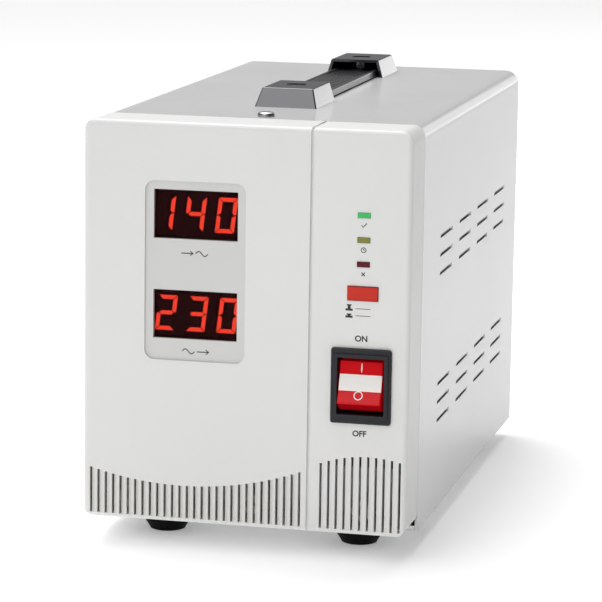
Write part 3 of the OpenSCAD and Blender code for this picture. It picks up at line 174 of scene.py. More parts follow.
class ShaderKit:
    """Shared shader node groups, each built once."""

    def __init__(self) -> None:
        """Starts with no groups built."""
        self.groups: dict[str, bpy.types.NodeTree] = {}

    def group(self, name: str) -> bpy.types.NodeTree:
        """Returns a shared group, building it the first time.

        Args:
            name: The group's name.

        Returns:
            The node group.
        """
        if name not in self.groups:
            self.groups[name] = getattr(self, "_make_" + name)()
        return self.groups[name]

    @staticmethod
    def _new(name: str, inputs: Sequence[tuple[str, str, object]], outputs: Sequence[tuple[str, str]]
             ) -> tuple[bpy.types.NodeTree, Sockets, Sockets]:
        """Makes an empty group with its sockets.

        Args:
            name: The group's name.
            inputs: Name, socket type and default of each input after the vector.
            outputs: Name and socket type of each output.

        Returns:
            The tree, the sockets it is given and the sockets it puts out.
        """
        tree = bpy.data.node_groups.new(name, "ShaderNodeTree")
        tree.interface.new_socket("Vector", in_out="INPUT", socket_type="NodeSocketVector")
        for label, kind, default in inputs:
            socket = tree.interface.new_socket(label, in_out="INPUT", socket_type="NodeSocket" + kind)
            socket.default_value = default
        for label, kind in outputs:
            tree.interface.new_socket(label, in_out="OUTPUT", socket_type="NodeSocket" + kind)
        return tree, tree.nodes.new("NodeGroupInput").outputs, tree.nodes.new("NodeGroupOutput").inputs

    def _relief(self, name: str, scale: float) -> tuple[bpy.types.NodeTree, Sockets, Sockets]:
        """Makes an empty group that turns a vector and a scale into a height."""
        return self._new(name, [("Scale", "Float", scale)], [("Height", "Float")])

    def _make_toning(self) -> bpy.types.NodeTree:
        """Builds the group that clouds a colour and a roughness over a surface.

        Returns:
            The node group.
        """
        tree, given, out = self._new(
            "toning",
            [("Colour", "Color", (0.8, 0.8, 0.8, 1)), ("Shade", "Color", (0.7, 0.7, 0.7, 1)),
             ("Patch Scale", "Float", 12.0), ("Speck Scale", "Float", 900.0), ("Speck Share", "Float", 0.15),
             ("Rough Low", "Float", 0.4), ("Rough High", "Float", 0.5)],
            [("Color", "Color"), ("Roughness", "Float")])
        patch = noise(tree, given["Vector"], given["Patch Scale"], 4, roughness=0.6)
        speck = noise(tree, given["Vector"], given["Speck Scale"], 2)
        blend = add_node(tree, "Mix", {"Factor": given["Speck Share"], "A": patch, "B": speck})["Result"]
        spread = ramp(tree, blend, (0.3, 0.7), kind="LINEAR")
        tint = add_node(tree, "Mix", {"Factor": spread, "A": given["Shade"], "B": given["Colour"]},
                        data_type="RGBA")["Result"]
        rough = add_node(tree, "MapRange", {"Value": spread, "To Min": given["Rough High"],
                                            "To Max": given["Rough Low"]})["Result"]
        tree.links.new(tint, out["Color"])
        tree.links.new(rough, out["Roughness"])
        return tree

    def _make_spark(self) -> bpy.types.NodeTree:
        """Builds the fine pitted relief of a spark-eroded mould.

        Returns:
            The node group.
        """
        tree, given, out = self._relief("spark", 1800.0)
        pits = add_node(tree, "TexVoronoi", {"Vector": given["Vector"], "Scale": given["Scale"]},
                        feature="SMOOTH_F1")["Distance"]
        grain = noise(tree, given["Vector"], given["Scale"], 3)
        both = add_node(tree, "Mix", {"Factor": 0.5, "A": pits, "B": grain})["Result"]
        tree.links.new(both, out["Height"])
        return tree

    def _make_peel(self) -> bpy.types.NodeTree:
        """Builds the slow ripple of sprayed paint, with a little dust in it.

        Returns:
            The node group.
        """
        tree, given, out = self._relief("peel", 420.0)
        ripple = noise(tree, given["Vector"], given["Scale"], 1)
        dust = noise(tree, given["Vector"], maths(tree, "MULTIPLY", given["Scale"], 4.5), 2)
        both = add_node(tree, "Mix", {"Factor": 0.25, "A": ripple, "B": dust})["Result"]
        tree.links.new(both, out["Height"])
        return tree

    def _make_brushed(self) -> bpy.types.NodeTree:
        """Builds fine lines drawn out along one axis.

        Returns:
            The node group.
        """
        tree, given, out = self._relief("brushed", 900.0)
        drawn_out = add_node(tree, "Mapping", {"Vector": given["Vector"], "Scale": (0.04, 1.0, 1.0)})
        tree.links.new(noise(tree, drawn_out["Vector"], given["Scale"], 3), out["Height"])
        return tree

    def _make_smooth(self) -> bpy.types.NodeTree:
        """Builds the barely uneven skin of polished plastic.

        Returns:
            The node group.
        """
        tree, given, out = self._relief("smooth", 120.0)
        tree.links.new(noise(tree, given["Vector"], given["Scale"], 1), out["Height"])
        return tree

    def _make_well(self) -> bpy.types.NodeTree:
        """Builds a mask that is 1 inside a block and 0 outside it, for painted shade, such as on the floor of
        a sunk place.

        Returns:
            The node group.
        """
        tree, given, out = self._new("well", [("Middle", "Vector", (0, 0, 0)), ("Half", "Vector", (1, 1, 1))],
                                     [("Mask", "Float")])
        value = given["Vector"]
        for operation, *other in (("SUBTRACT", given["Middle"]), ("ABSOLUTE",), ("SUBTRACT", given["Half"])):
            value = add_node(tree, "VectorMath", dict(enumerate([value, *other])),
                             operation=operation)["Vector"]
        past = add_node(tree, "SeparateXYZ", {"Vector": value})
        most = maths(tree, "MAXIMUM", maths(tree, "MAXIMUM", past["X"], past["Y"]), past["Z"])
        tree.links.new(maths(tree, "LESS_THAN", most, 0.0), out["Mask"])
        return tree

    def _make_flutes(self) -> bpy.types.NodeTree:
        """Builds a mask of painted shade, soft and warm, beside each slot of a grille, under the arc of its
        top.

        Returns:
            The node group.
        """
        tree, given, out = self._new("flutes", [(field.name, "Float", 0.0) for field in fields(PaintedFluteShade)],
                                     [("Mask", "Float")])
        place = add_node(tree, "SeparateXYZ", {"Vector": given["Vector"]})
        across = maths(tree, "SUBTRACT", place["X"], given["middle"])
        inside = maths(tree, "LESS_THAN", maths(tree, "ABSOLUTE", across), given["half"])
        aside = maths(tree, "SUBTRACT", place["X"], given["arc_x"])
        rise = maths(tree, "MULTIPLY", maths(tree, "MULTIPLY", aside, aside), given["bend"])
        below = maths(tree, "LESS_THAN", place["Z"], maths(tree, "ADD", rise, given["arc_z"]))
        above = maths(tree, "GREATER_THAN", place["Z"], given["low"])
        past_slot = maths(tree, "SUBTRACT", across, given["slot_half"])
        share = maths(tree, "FRACT", maths(tree, "DIVIDE", past_slot, given["pitch"]))
        mask = maths(tree, "MULTIPLY", ramp(tree, share, (0.0, 0.5), (1.0, 0.12)), given["strength"])
        for limit in (inside, below, above):
            mask = maths(tree, "MULTIPLY", mask, limit)
        tree.links.new(mask, out["Mask"])
        return tree

    def _make_wrapped(self) -> bpy.types.NodeTree:
        """Builds the overlapping edges of tape wound round a ring.

        Returns:
            The node group.
        """
        tree, given, out = self._relief("wrapped", 60.0)
        place = add_node(tree, "SeparateXYZ", {"Vector": given["Vector"]})
        turn = maths(tree, "ARCTAN2", place["Y"], place["X"])
        edge = maths(tree, "FRACT", maths(tree, "MULTIPLY", turn, given["Scale"]))
        tree.links.new(edge, out["Height"])
        return tree


KIT = ShaderKit()


@dataclass(frozen=True)
class Finish:
    """A surface finish: its colours, its gloss and its relief.

    A well is a block of the surface that is toned darker as painted shade, given as its middle and half its
    size in metres.
    """

    name: str
    colour: Colour
    shade: Colour
    rough: Pair = (0.4, 0.5)
    texture: Texture = Texture.SMOOTH
    texture_scale: float = 900.0
    relief: float = 0.1
    relief_depth: float = 0.0002
    patch_scale: float = 12.0
    speck_scale: float = 900.0
    speck_share: float = 0.15
    metallic: float = 0.0
    specular: float = 0.5
    coat: float = 0.0
    coat_rough: float = 0.1
    alpha: float = 1.0
    glow: float = 0.0
    glow_colour: Colour = (1.0, 0.1, 0.02)
    well: tuple[Place, Place] | None = None
    painted_shade_factor: float = 0.84
    # Painted shade beside a grille's slots, and its colour.
    flutes: tuple[PaintedFluteShade, ...] = ()
    painted_flute_shade_colour: Colour = (0.47, 0.45, 0.4)

    @staticmethod
    def tinted(tree: bpy.types.NodeTree, tone: bpy.types.NodeSocket, mask: bpy.types.NodeSocket,
               colour: Colour) -> bpy.types.NodeSocket:
        """Blends a second colour into a tone where a mask says so."""
        inputs = {"Factor": mask, "A": tone, "B": (*colour, 1)}
        return add_node(tree, "Mix", inputs, data_type="RGBA")["Result"]

    def material(self) -> bpy.types.Material:
        """Returns the finish's material, building it the first time.

        Returns:
            The material.
        """
        title = "look_" + self.name
        made = bpy.data.materials.get(title)
        if made is not None:
            return made
        made = bpy.data.materials.new(title)
        made.use_nodes = True
        tree = made.node_tree
        place = add_node(tree, "TexCoord", {})["Object"]
        toning = add_node(tree, "Group", {
            "Vector": place, "Colour": (*self.colour, 1), "Shade": (*self.shade, 1),
            "Patch Scale": self.patch_scale, "Speck Scale": self.speck_scale, "Speck Share": self.speck_share,
            "Rough Low": self.rough[0], "Rough High": self.rough[1]}, node_tree=KIT.group("toning"))
        tone = toning["Color"]
        # Painted shade: the well's block is darkened by the painted shade factor.
        if self.well:
            mask = add_node(tree, "Group", {"Vector": place, "Middle": self.well[0], "Half": self.well[1]},
                            node_tree=KIT.group("well"))["Mask"]
            tone = self.tinted(tree, tone, mask, tuple(self.painted_shade_factor * c for c in self.colour))
        # Painted shade beside each grille's slots.
        for flutes in self.flutes:
            mask = add_node(tree, "Group", {"Vector": place, **asdict(flutes)},
                            node_tree=KIT.group("flutes"))["Mask"]
            tone = self.tinted(tree, tone, mask, self.painted_flute_shade_colour)
        height = add_node(tree, "Group", {"Vector": place, "Scale": self.texture_scale},
                          node_tree=KIT.group(self.texture.value))["Height"]
        normal = add_node(tree, "Bump", {"Height": height, "Strength": self.relief,
                                         "Distance": self.relief_depth})["Normal"]
        shader = tree.nodes["Principled BSDF"]
        feed(tree, shader, {
            "Base Color": tone, "Roughness": toning["Roughness"], "Normal": normal, "Metallic": self.metallic,
            "Specular IOR Level": self.specular, "Coat Weight": self.coat, "Coat Roughness": self.coat_rough,
            "Alpha": self.alpha})
        if self.glow:
            feed(tree, shader, {"Emission Color": (*self.glow_colour, 1), "Emission Strength": self.glow})
        return made

    def dress(self, *names: str) -> None:
        """Gives this finish to CAD nodes.

        Args:
            names: The nodes' names.
        """
        for name in names:
            node = bpy.data.objects[name]
            node.data.materials.clear()
            node.data.materials.append(self.material())


# Painted shade darkens the floor of the display recess, and painted shade lies beside the grille slots.
PANEL = Finish("panel_plastic", (0.782, 0.782, 0.77), (0.757, 0.757, 0.742), rough=(0.38, 0.46),
               texture=Texture.SPARK, texture_scale=1500, relief=0.16, relief_depth=0.0001,
               well=((-0.0206, -0.122, 0.114), (0.0209, 0.005, 0.0364)),
               flutes=(PaintedFluteShade(middle=-0.02005, pitch=0.00309, half=0.04376, arc_x=-0.02525, arc_z=0.02670,
                              bend=3.6496, strength=0.7),
                       PaintedFluteShade(middle=0.04785, pitch=0.00320, half=0.0165, arc_x=0.05110, arc_z=0.04350,
                              bend=-9.4340, strength=0.25)))
PAINT = Finish("case_paint", (0.68, 0.685, 0.68), (0.66, 0.665, 0.66), rough=(0.14, 0.2),
               texture=Texture.PEEL, texture_scale=380, specular=0.22, coat=0.04, coat_rough=0.08)
ZINC = Finish("zinc_plate", (0.62, 0.63, 0.64), (0.5, 0.51, 0.52), rough=(0.28, 0.42),
              texture=Texture.BRUSHED, metallic=1.0, patch_scale=40, relief=0.15)
NICKEL = Finish("nickel_screw", (0.6, 0.6, 0.61), (0.48, 0.48, 0.5), rough=(0.24, 0.36),
                texture=Texture.BRUSHED, metallic=1.0, patch_scale=160)
BRASS = Finish("brass_plain", (0.75, 0.56, 0.26), (0.6, 0.43, 0.18), rough=(0.25, 0.38),
               texture=Texture.BRUSHED, metallic=1.0, patch_scale=80)
LENS = Finish("red_filter", (0.03, 0.001, 0.002), (0.02, 0.001, 0.001), rough=(0.08, 0.14),
              relief=0.03, alpha=0.4, specular=0.06)
DISPLAY = Finish("display_body", (0.012, 0.003, 0.003), (0.006, 0.002, 0.002), rough=(0.5, 0.6),
                 texture=Texture.SPARK, texture_scale=1400, specular=0.1)
DIGIT = Finish("lit_segment", (0.5, 0.02, 0.01), (0.45, 0.015, 0.008), glow=2.3,
               glow_colour=(1.0, 0.055, 0.025))
BOARD = Finish("board_green", (0.05, 0.22, 0.09), (0.03, 0.15, 0.06), rough=(0.3, 0.4),
               texture=Texture.PEEL, texture_scale=700, patch_scale=60)
LAMP_GREEN = Finish("lamp_green", (0.06, 0.34, 0.1), (0.04, 0.25, 0.07), rough=(0.2, 0.3), glow=0.2,
                    glow_colour=(0.05, 0.9, 0.2), patch_scale=300, specular=0.3)
LAMP_YELLOW = Finish("lamp_yellow", (0.27, 0.27, 0.06), (0.2, 0.2, 0.04), rough=(0.2, 0.3),
                     patch_scale=300, specular=0.3)
LAMP_RED = Finish("lamp_red", (0.12, 0.004, 0.01), (0.08, 0.002, 0.006), rough=(0.2, 0.3),
                  patch_scale=300, specular=0.25)
ORANGE = Finish("button_orange", (0.62, 0.03, 0.015), (0.55, 0.022, 0.012), rough=(0.28, 0.36),
                texture=Texture.SPARK, texture_scale=1500, relief_depth=0.00005, specular=0.25)
SWITCH = Finish("switch_grey", (0.02, 0.021, 0.026), (0.014, 0.015, 0.019),
                texture=Texture.SPARK, texture_scale=1500, relief=0.15, relief_depth=0.0001, specular=0.3)
# Painted shade darkens the rocker's lower end face, through its well.
ROCKER = Finish("rocker_red", (0.58, 0.004, 0.009), (0.5, 0.003, 0.006), rough=(0.1, 0.16), specular=0.15,
                relief=0.03, glow=0.1, glow_colour=(0.9, 0.0, 0.01),
                well=((0.0477, -0.124, 0.06025), (0.01, 0.02, 0.00525)), painted_shade_factor=0.42)
HANDLE = Finish("handle_black", (0.017, 0.018, 0.029), (0.013, 0.014, 0.022), rough=(0.07, 0.12),
                texture=Texture.SPARK, texture_scale=1300, relief=0.06, relief_depth=0.0001, specular=0.8,
                coat=0.35, coat_rough=0.06)
STRAP = Finish("strap_vinyl", (0.024, 0.025, 0.028), (0.016, 0.017, 0.019), rough=(0.3, 0.4),
               texture=Texture.PEEL, texture_scale=500, relief=0.15, coat=0.45, coat_rough=0.12)
RUBBER = Finish("foot_rubber", (0.004, 0.004, 0.004), (0.003, 0.003, 0.003), rough=(0.5, 0.65),
                texture=Texture.SPARK, relief=0.3, specular=0.08)
CORE = Finish("core_steel", (0.2, 0.2, 0.21), (0.14, 0.14, 0.15), metallic=0.8, texture=Texture.BRUSHED)
TAPE = Finish("winding_tape", (0.62, 0.45, 0.12), (0.5, 0.34, 0.07), rough=(0.2, 0.32),
              texture=Texture.WRAPPED, texture_scale=14, relief=0.5, relief_depth=0.0006)
RELAY = Finish("relay_blue", (0.02, 0.1, 0.42), (0.015, 0.07, 0.34), rough=(0.25, 0.35), patch_scale=80)
CAPACITOR = Finish("capacitor_sleeve", (0.02, 0.025, 0.09), (0.012, 0.016, 0.06), rough=(0.2, 0.3))
CONNECTOR = Finish("connector_ivory", (0.8, 0.78, 0.68), (0.72, 0.7, 0.6))
RIBBON = Finish("ribbon_grey", (0.32, 0.32, 0.34), (0.25, 0.25, 0.27),
                texture=Texture.BRUSHED, texture_scale=500, relief=0.3)
WIRE_RED = Finish("wire_red", (0.5, 0.02, 0.015), (0.4, 0.015, 0.01), rough=(0.3, 0.4))
WIRE_BLUE = Finish("wire_blue", (0.02, 0.05, 0.4), (0.015, 0.035, 0.32), rough=(0.3, 0.4))
WIRE_GREEN = Finish("wire_green", (0.06, 0.3, 0.04), (0.04, 0.22, 0.03), rough=(0.3, 0.4))
OUTLET = Finish("outlet_black", (0.02, 0.02, 0.022), (0.014, 0.014, 0.016), rough=(0.28, 0.38),
                texture=Texture.SPARK, texture_scale=1300, relief=0.12)
INK = Finish("print_ink", (0.02, 0.02, 0.022), (0.014, 0.014, 0.016), relief=0.02)
# White: real print on the rocker's marks, and a painted glare, a painted reflection of a lamp, on the
# rocker's middle facet.
PRINT_AND_PAINTED_GLARE = Finish("rocker_print_and_painted_glare", (0.92, 0.88, 0.85), (0.88, 0.84, 0.8), rough=(0.14, 0.2), coat=0.3,
              relief=0.02)
IVORY = Finish("key_ivory", (0.82, 0.81, 0.77), (0.76, 0.75, 0.7), rough=(0.3, 0.4))
FLOOR = Finish("floor_pale", (0.9, 0.9, 0.9), (0.89, 0.89, 0.89), rough=(0.6, 0.7), patch_scale=2,
               relief=0.02, glow=0.27, glow_colour=(1.0, 1.0, 1.0))


@dataclass(frozen=True)
class SoftBox:
    """A square lamp: where it stands and what it points at, its size in metres and its power in watts."""

    name: str
    stands: Place
    aim: Place
    size: float
    power: float

    def place(self) -> None:
        """Adds the lamp to the scene."""
        data = bpy.data.lights.new(self.name, "AREA")
        data.size, data.energy = self.size, self.power
        lamp = bpy.data.objects.new(self.name, data)
        bpy.context.scene.collection.objects.link(lamp)
        lamp.location = self.stands
        lamp.rotation_euler = (Vector(self.aim) - Vector(self.stands)).to_track_quat("-Z", "Y").to_euler()


@dataclass
class Studio:
    """The floor, the lights and the camera at the photograph's angle, about the case's own zero point.

    Attributes:
        zero: The case's zero point in metres.
        focal: The camera's focal length in the photograph's pixels.
        frame_px: The photograph's width in pixels.
        sensor: The camera's sensor width in millimetres.
        stands: Where the camera stands, in millimetres of the case.
        aim: The way that it looks.
        roll: Its roll in degrees.
        floor_size: The floor's size in metres.
        boxes: The lamps.
    """

    zero: Vector
    focal: float = 3031.07
    frame_px: float = 602.0
    sensor: float = 36.0
    stands: Place = (289.62, -1145.44, 301.52)
    aim: Place = (-0.22335, 0.95902, -0.17436)
    roll: float = 0.85
    floor_size: float = 16.0
    boxes: tuple[SoftBox, ...] = (
        SoftBox("key_box", (-0.5, -1.6, 1.5), (0, 0, 0.09), 0.9, 4.6),
        SoftBox("rear_box", (0.66, 2.4, 0.42), (0, 0.1, 0.16), 0.7, 2.2),
        SoftBox("top_box", (-0.3, 0.3, 1.6), (-0.05, 0.15, 0.1), 1.1, 14.5))

    def camera(self) -> None:
        """Places the camera as it stood for the photograph."""
        data = bpy.data.cameras.new("camera")
        data.sensor_width = self.sensor
        data.lens = self.focal / self.frame_px * self.sensor
        data.clip_start, data.clip_end = 0.05, 50
        camera = bpy.data.objects.new("camera", data)
        bpy.context.scene.collection.objects.link(camera)
        forward = Vector(self.aim).normalized()
        right = forward.cross(Vector((0, 0, 1))).normalized()
        up = right.cross(forward)
        turn = math.radians(self.roll)
        right, up = right * math.cos(turn) + up * math.sin(turn), up * math.cos(turn) - right * math.sin(turn)
        spot = self.zero + Vector(self.stands) * MM
        camera.matrix_world = Matrix.Translation(spot) @ Matrix((right, up, -forward)).transposed().to_4x4()
        bpy.context.scene.camera = camera

    @staticmethod
    def surround(tree: bpy.types.NodeTree) -> None:
        """Lights the scene from all round: bright above and in front, dark low behind, dimmer on both sides.

        Args:
            tree: The world's tree.
        """
        place = add_node(tree, "SeparateXYZ", {"Vector": add_node(tree, "TexCoord", {})["Generated"]})
        above = ramp(tree, place["Z"], (0.3, 0.8), (0.2, 1.35))
        front = ramp(tree, place["Y"], (0.5, -0.3), (0.0, 0.42))
        rim = ramp(tree, place["Z"], (0.07, 0.02), (0.0, 0.95), "LINEAR")
        right = ramp(tree, place["X"], (0.0, 0.52), (1.05, 0.04))
        left = ramp(tree, place["X"], (-0.5, -0.95), (1.0, 0.4))
        level = maths(tree, "MAXIMUM", maths(tree, "MAXIMUM", above, front), rim)
        level = maths(tree, "MULTIPLY", maths(tree, "MULTIPLY", level, right), left)
        feed(tree, tree.nodes["Background"], {"Color": (1, 1, 1, 1), "Strength": level})

    def build(self) -> None:
        """Makes the floor, the lights, the surrounding light and the camera."""
        bpy.ops.mesh.primitive_plane_add(size=self.floor_size, location=(0, self.floor_size / 4, -0.2 * MM))
        floor = bpy.context.object
        floor.name = "floor"
        floor.data.materials.append(FLOOR.material())
        world = bpy.data.worlds.new("studio")
        bpy.context.scene.world = world
        world.use_nodes = True
        self.surround(world.node_tree)
        for box in self.boxes:
            box.place()
        bpy.context.scene.view_settings.view_transform = "Standard"
        self.camera()


@dataclass
class Bench:
    """Blender's modelling operators, used in millimetres from the case's own zero point."""

    zero: Vector

    def spot(self, x: float, y: float, z: float) -> Vector:
        """Turns a place in millimetres of the case into metres of the model.

        Args:
            x: Place across the case.
            y: Place behind the front face.
            z: Height above the front panel's lower edge.

        Returns:
            The place in metres.
        """
        return self.zero + Vector((x, y, z)) * MM

    @staticmethod
    def pick(*pieces: bpy.types.Object) -> None:
        """Selects only these pieces, the first of them active.

        Args:
            pieces: The pieces.
        """
        bpy.ops.object.select_all(action="DESELECT")
        for piece in pieces:
            piece.select_set(True)
        bpy.context.view_layer.objects.active = pieces[0]

    def settle(self, piece: bpy.types.Object, at: Sequence[float] = (0, 0, 0),
               turn: Sequence[float] = (0, 0, 0)) -> bpy.types.Object:
        """Turns a piece, moves it to its place and puts both into its mesh.

        Args:
            piece: The piece, made about the world's origin.
            at: Its place, in metres.
            turn: Its turn about X, Y and Z in degrees.

        Returns:
            The piece.
        """
        self.pick(piece)
        piece.rotation_euler = tuple(math.radians(angle) for angle in turn)
        piece.location = at
        bpy.ops.object.transform_apply(location=True, rotation=True, scale=True)
        return piece

    def block(self, name: str, low: Sequence[float], high: Sequence[float]) -> bpy.types.Object:
        """Adds a block between two corners given in millimetres of the case.

        Args:
            name: The piece's name.
            low: Its lowest corner.
            high: Its highest corner.

        Returns:
            The piece.
        """
        bpy.ops.object.select_all(action="DESELECT")
        first, last = self.spot(*low), self.spot(*high)
        bpy.ops.mesh.primitive_cube_add(size=1, location=(first + last) / 2, scale=tuple(last - first))
        piece = bpy.context.object
        piece.name = name
        bpy.ops.object.transform_apply(location=True, rotation=True, scale=True)
        return piece

    @staticmethod
    def choose(piece: bpy.types.Object, kind: str, test: Callable[[object], bool]) -> None:
        """Opens a piece in edit mode with those faces or edges selected that pass a test.

        Args:
            piece: The active piece.
            kind: Either "faces" or "edges".
            test: Takes a face or edge and tells whether to select it.
        """
        bpy.ops.object.mode_set(mode="EDIT")
        bpy.ops.mesh.select_mode(type="FACE" if kind == "faces" else "EDGE")
        bpy.ops.mesh.select_all(action="DESELECT")
        mesh = bmesh.from_edit_mesh(piece.data)
        for item in getattr(mesh, kind):
            if test(item):
                item.select_set(True)
        bmesh.update_edit_mesh(piece.data)

    @staticmethod
    def close() -> None:
        """Goes back from edit mode to object mode."""
        bpy.ops.object.mode_set(mode="OBJECT")

    @staticmethod
    def modify(piece: bpy.types.Object, kind: str, **settings: object) -> bpy.types.Object:
        """Adds a modifier, sets it and applies it.

        Args:
            piece: The piece.
            kind: The modifier's type.
            settings: Its settings by name.

        Returns:
            The piece.
        """
        Bench.pick(piece)
        modifier = piece.modifiers.new(kind.lower(), kind)
        for key, value in settings.items():
            setattr(modifier, key, value)
        bpy.ops.object.modifier_apply(modifier=modifier.name)
        return piece

    def soften(self, piece: bpy.types.Object, width: float, segments: int = 3,
               angle: float = 30) -> bpy.types.Object:
        """Rounds a piece's sharp edges.

        Args:
            piece: The piece.
            width: Width of the rounding in millimetres.
            segments: Number of faces across it.
            angle: The least angle of an edge that is rounded, in degrees.

        Returns:
            The piece.
        """
        return self.modify(piece, "BEVEL", width=width * MM, segments=segments, limit_method="ANGLE",
                           angle_limit=math.radians(angle), harden_normals=False)

    def cut(self, piece: bpy.types.Object, *tools: bpy.types.Object) -> bpy.types.Object:
        """Cuts tools out of a piece and removes them.

        Args:
            piece: The piece.
            tools: The tools.

        Returns:
            The piece.
        """
        for tool in tools:
            self.modify(piece, "BOOLEAN", operation="DIFFERENCE", solver="EXACT", object=tool)
            bpy.data.objects.remove(tool)
        return piece

    def join(self, name: str, *pieces: bpy.types.Object) -> bpy.types.Object:
        """Joins pieces into one object.

        Args:
            name: The joined piece's name.
            pieces: The pieces.

        Returns:
            The joined piece.
        """
        self.pick(*pieces)
        if len(pieces) > 1:
            bpy.ops.object.join()
        joined = bpy.context.object
        joined.name = name
        return joined

    def twin(self, piece: bpy.types.Object) -> bpy.types.Object:
        """Copies a piece, with a mesh of its own.

        Args:
            piece: The piece.

        Returns:
            Its copy.
        """
        self.pick(piece)
        bpy.ops.object.duplicate()
        return bpy.context.object

    def copies(self, piece: bpy.types.Object, name: str, shifts: Sequence[Place]) -> bpy.types.Object:
        """Copies a piece to several places, each with its own mesh, and joins the copies.

        Args:
            piece: The piece, which is used up.
            name: The name of the joined copies.
            shifts: Where each copy goes from the piece's place, in millimetres.

        Returns:
            The joined copies.
        """
        made = [self.settle(self.twin(piece), Vector(shift) * MM) for shift in shifts]
        bpy.data.objects.remove(piece)
        return self.join(name, *made)

    @staticmethod
    def heal() -> None:
        """Merges doubled corners of the mesh open in edit mode and turns its faces outwards."""
        bpy.ops.mesh.select_all(action="SELECT")
        bpy.ops.mesh.remove_doubles(threshold=SAME)
        bpy.ops.mesh.normals_make_consistent(inside=False)

    def turned(self, name: str, rings: Sequence[Pair], vertices: int = 48,
               loop: bool = False) -> bpy.types.Object:
        """Turns a piece about the world's Z, ring by ring from a circle.

        Args:
            name: The piece's name.
            rings: Radius and height of each ring in millimetres.
            vertices: Corners round each ring.
            loop: Closes the last ring on the first, for a piece with a hole.

        Returns:
            The piece, at the world's origin.
        """
        bpy.ops.object.select_all(action="DESELECT")
        radius, height = rings[0]
        bpy.ops.mesh.primitive_circle_add(vertices=vertices, radius=radius * MM, location=(0, 0, height * MM),
                                          fill_type="NOTHING" if loop else "NGON")
        piece = bpy.context.object
        piece.name = name
        bpy.ops.object.transform_apply(location=True, rotation=True, scale=True)
        bpy.ops.object.mode_set(mode="EDIT")
        bpy.ops.mesh.select_mode(type="EDGE")
        bpy.ops.mesh.select_all(action="SELECT")
        for new_radius, new_height in [*rings[1:], *([rings[0]] if loop else [])]:
            bpy.ops.mesh.extrude_edges_move(
                TRANSFORM_OT_translate={"value": (0, 0, (new_height - height) * MM)})
            factor = new_radius / radius
            bpy.ops.transform.resize(value=(factor, factor, 1), center_override=(0, 0, new_height * MM))
            radius, height = new_radius, new_height
        if not loop:
            bpy.ops.mesh.edge_face_add()
        self.heal()
        self.close()
        return piece

    def drawn(self, name: str, outline: Sequence[Pair], low: float,
              high: float) -> bpy.types.Object:
        """Draws an outline of Y and Z into a closed bar along X, edge by edge.

        Args:
            name: The piece's name.
            outline: Y and Z of each corner in millimetres, in order.
            low: The bar's lower end in X.
            high: The bar's upper end in X.

        Returns:
            The piece, in the world's own frame.
        """
        bpy.ops.object.select_all(action="DESELECT")
        (y0, z0), (y1, z1) = outline[0], outline[1]
        bpy.ops.mesh.primitive_plane_add(
            size=1, location=((low + high) / 2 * MM, (y0 + y1) / 2 * MM, (z0 + z1) / 2 * MM),
            rotation=(math.atan2(z1 - z0, y1 - y0), 0, 0))
        piece = bpy.context.object
        piece.name = name
        piece.scale = ((high - low) * MM, math.hypot(y1 - y0, z1 - z0) * MM, 1)
        bpy.ops.object.transform_apply(location=True, rotation=True, scale=True)
        tip = Vector((y1, z1)) * MM
        self.choose(piece, "edges", lambda edge: all((v.co.yz - tip).length < SAME for v in edge.verts))
        corners = [*outline[1:], outline[0]]
        for (ya, za), (yb, zb) in zip(corners, corners[1:]):
            bpy.ops.mesh.extrude_edges_move(
                TRANSFORM_OT_translate={"value": (0, (yb - ya) * MM, (zb - za) * MM)})
        self.heal()
        for end in (low, high):
            bpy.ops.mesh.select_all(action="DESELECT")
            mesh = bmesh.from_edit_mesh(piece.data)
            for edge in mesh.edges:
                edge.select_set(edge.is_boundary and all(abs(v.co.x - end * MM) < SAME for v in edge.verts))
            bmesh.update_edit_mesh(piece.data)
            bpy.ops.mesh.edge_face_add()
        self.heal()
        self.close()
        return piece

    def lettering(self, name: str, words: str, height: float, x: float, y: float,
                  z: float) -> bpy.types.Object:
        """Prints a word on the front face.

        Args:
            name: The piece's name.
            words: What it says.
            height: Height of its capitals in millimetres.
            x: Its middle across the case.
            y: The surface it is printed on.
            z: Its middle height.

        Returns:
            The piece.
        """
        bpy.ops.object.select_all(action="DESELECT")
        bpy.ops.object.text_add()
        text = bpy.context.object
        text.name = name
        text.data.body = words
        text.data.align_x, text.data.align_y = "CENTER", "CENTER"
        text.data.size = height * MM / CAPITAL
        text.data.extrude = PRINT_T * MM / 2
        text.data.offset = PRINT_SPREAD
        bpy.ops.object.convert(target="MESH")
        return self.settle(text, self.spot(x, y - PRINT_T / 2, z), (90, 0, 0))

    def stroke(self, name: str, points: Sequence[Pair], width: float, y: float,
               ring: bool = False) -> bpy.types.Object:
        """Prints a line on the front face, as a flattened bead.

        Args:
            name: The piece's name.
            points: X and Z of its points in millimetres of the case.
            width: Its width.
            y: The surface it is printed on.
            ring: Joins its last point to its first.

        Returns:
            The piece.
        """
        bpy.ops.object.select_all(action="DESELECT")
        bpy.ops.curve.primitive_nurbs_path_add()
        curve = bpy.context.object
        curve.name = name
        curve.data.splines.clear()
        spline = curve.data.splines.new("POLY")
        spline.points.add(len(points) - 1)
        for point, (x, z) in zip(spline.points, points):
            point.co = (x * MM, 0, z * MM, 1)
        spline.use_cyclic_u = ring
        curve.data.bevel_depth = width * MM / 2
        curve.data.bevel_resolution = 1
        curve.data.use_fill_caps = True
        bpy.ops.object.convert(target="MESH")
        curve.scale = (1, 2 * PRINT_T / width, 1)
        return self.settle(curve, self.spot(0, y, 0))

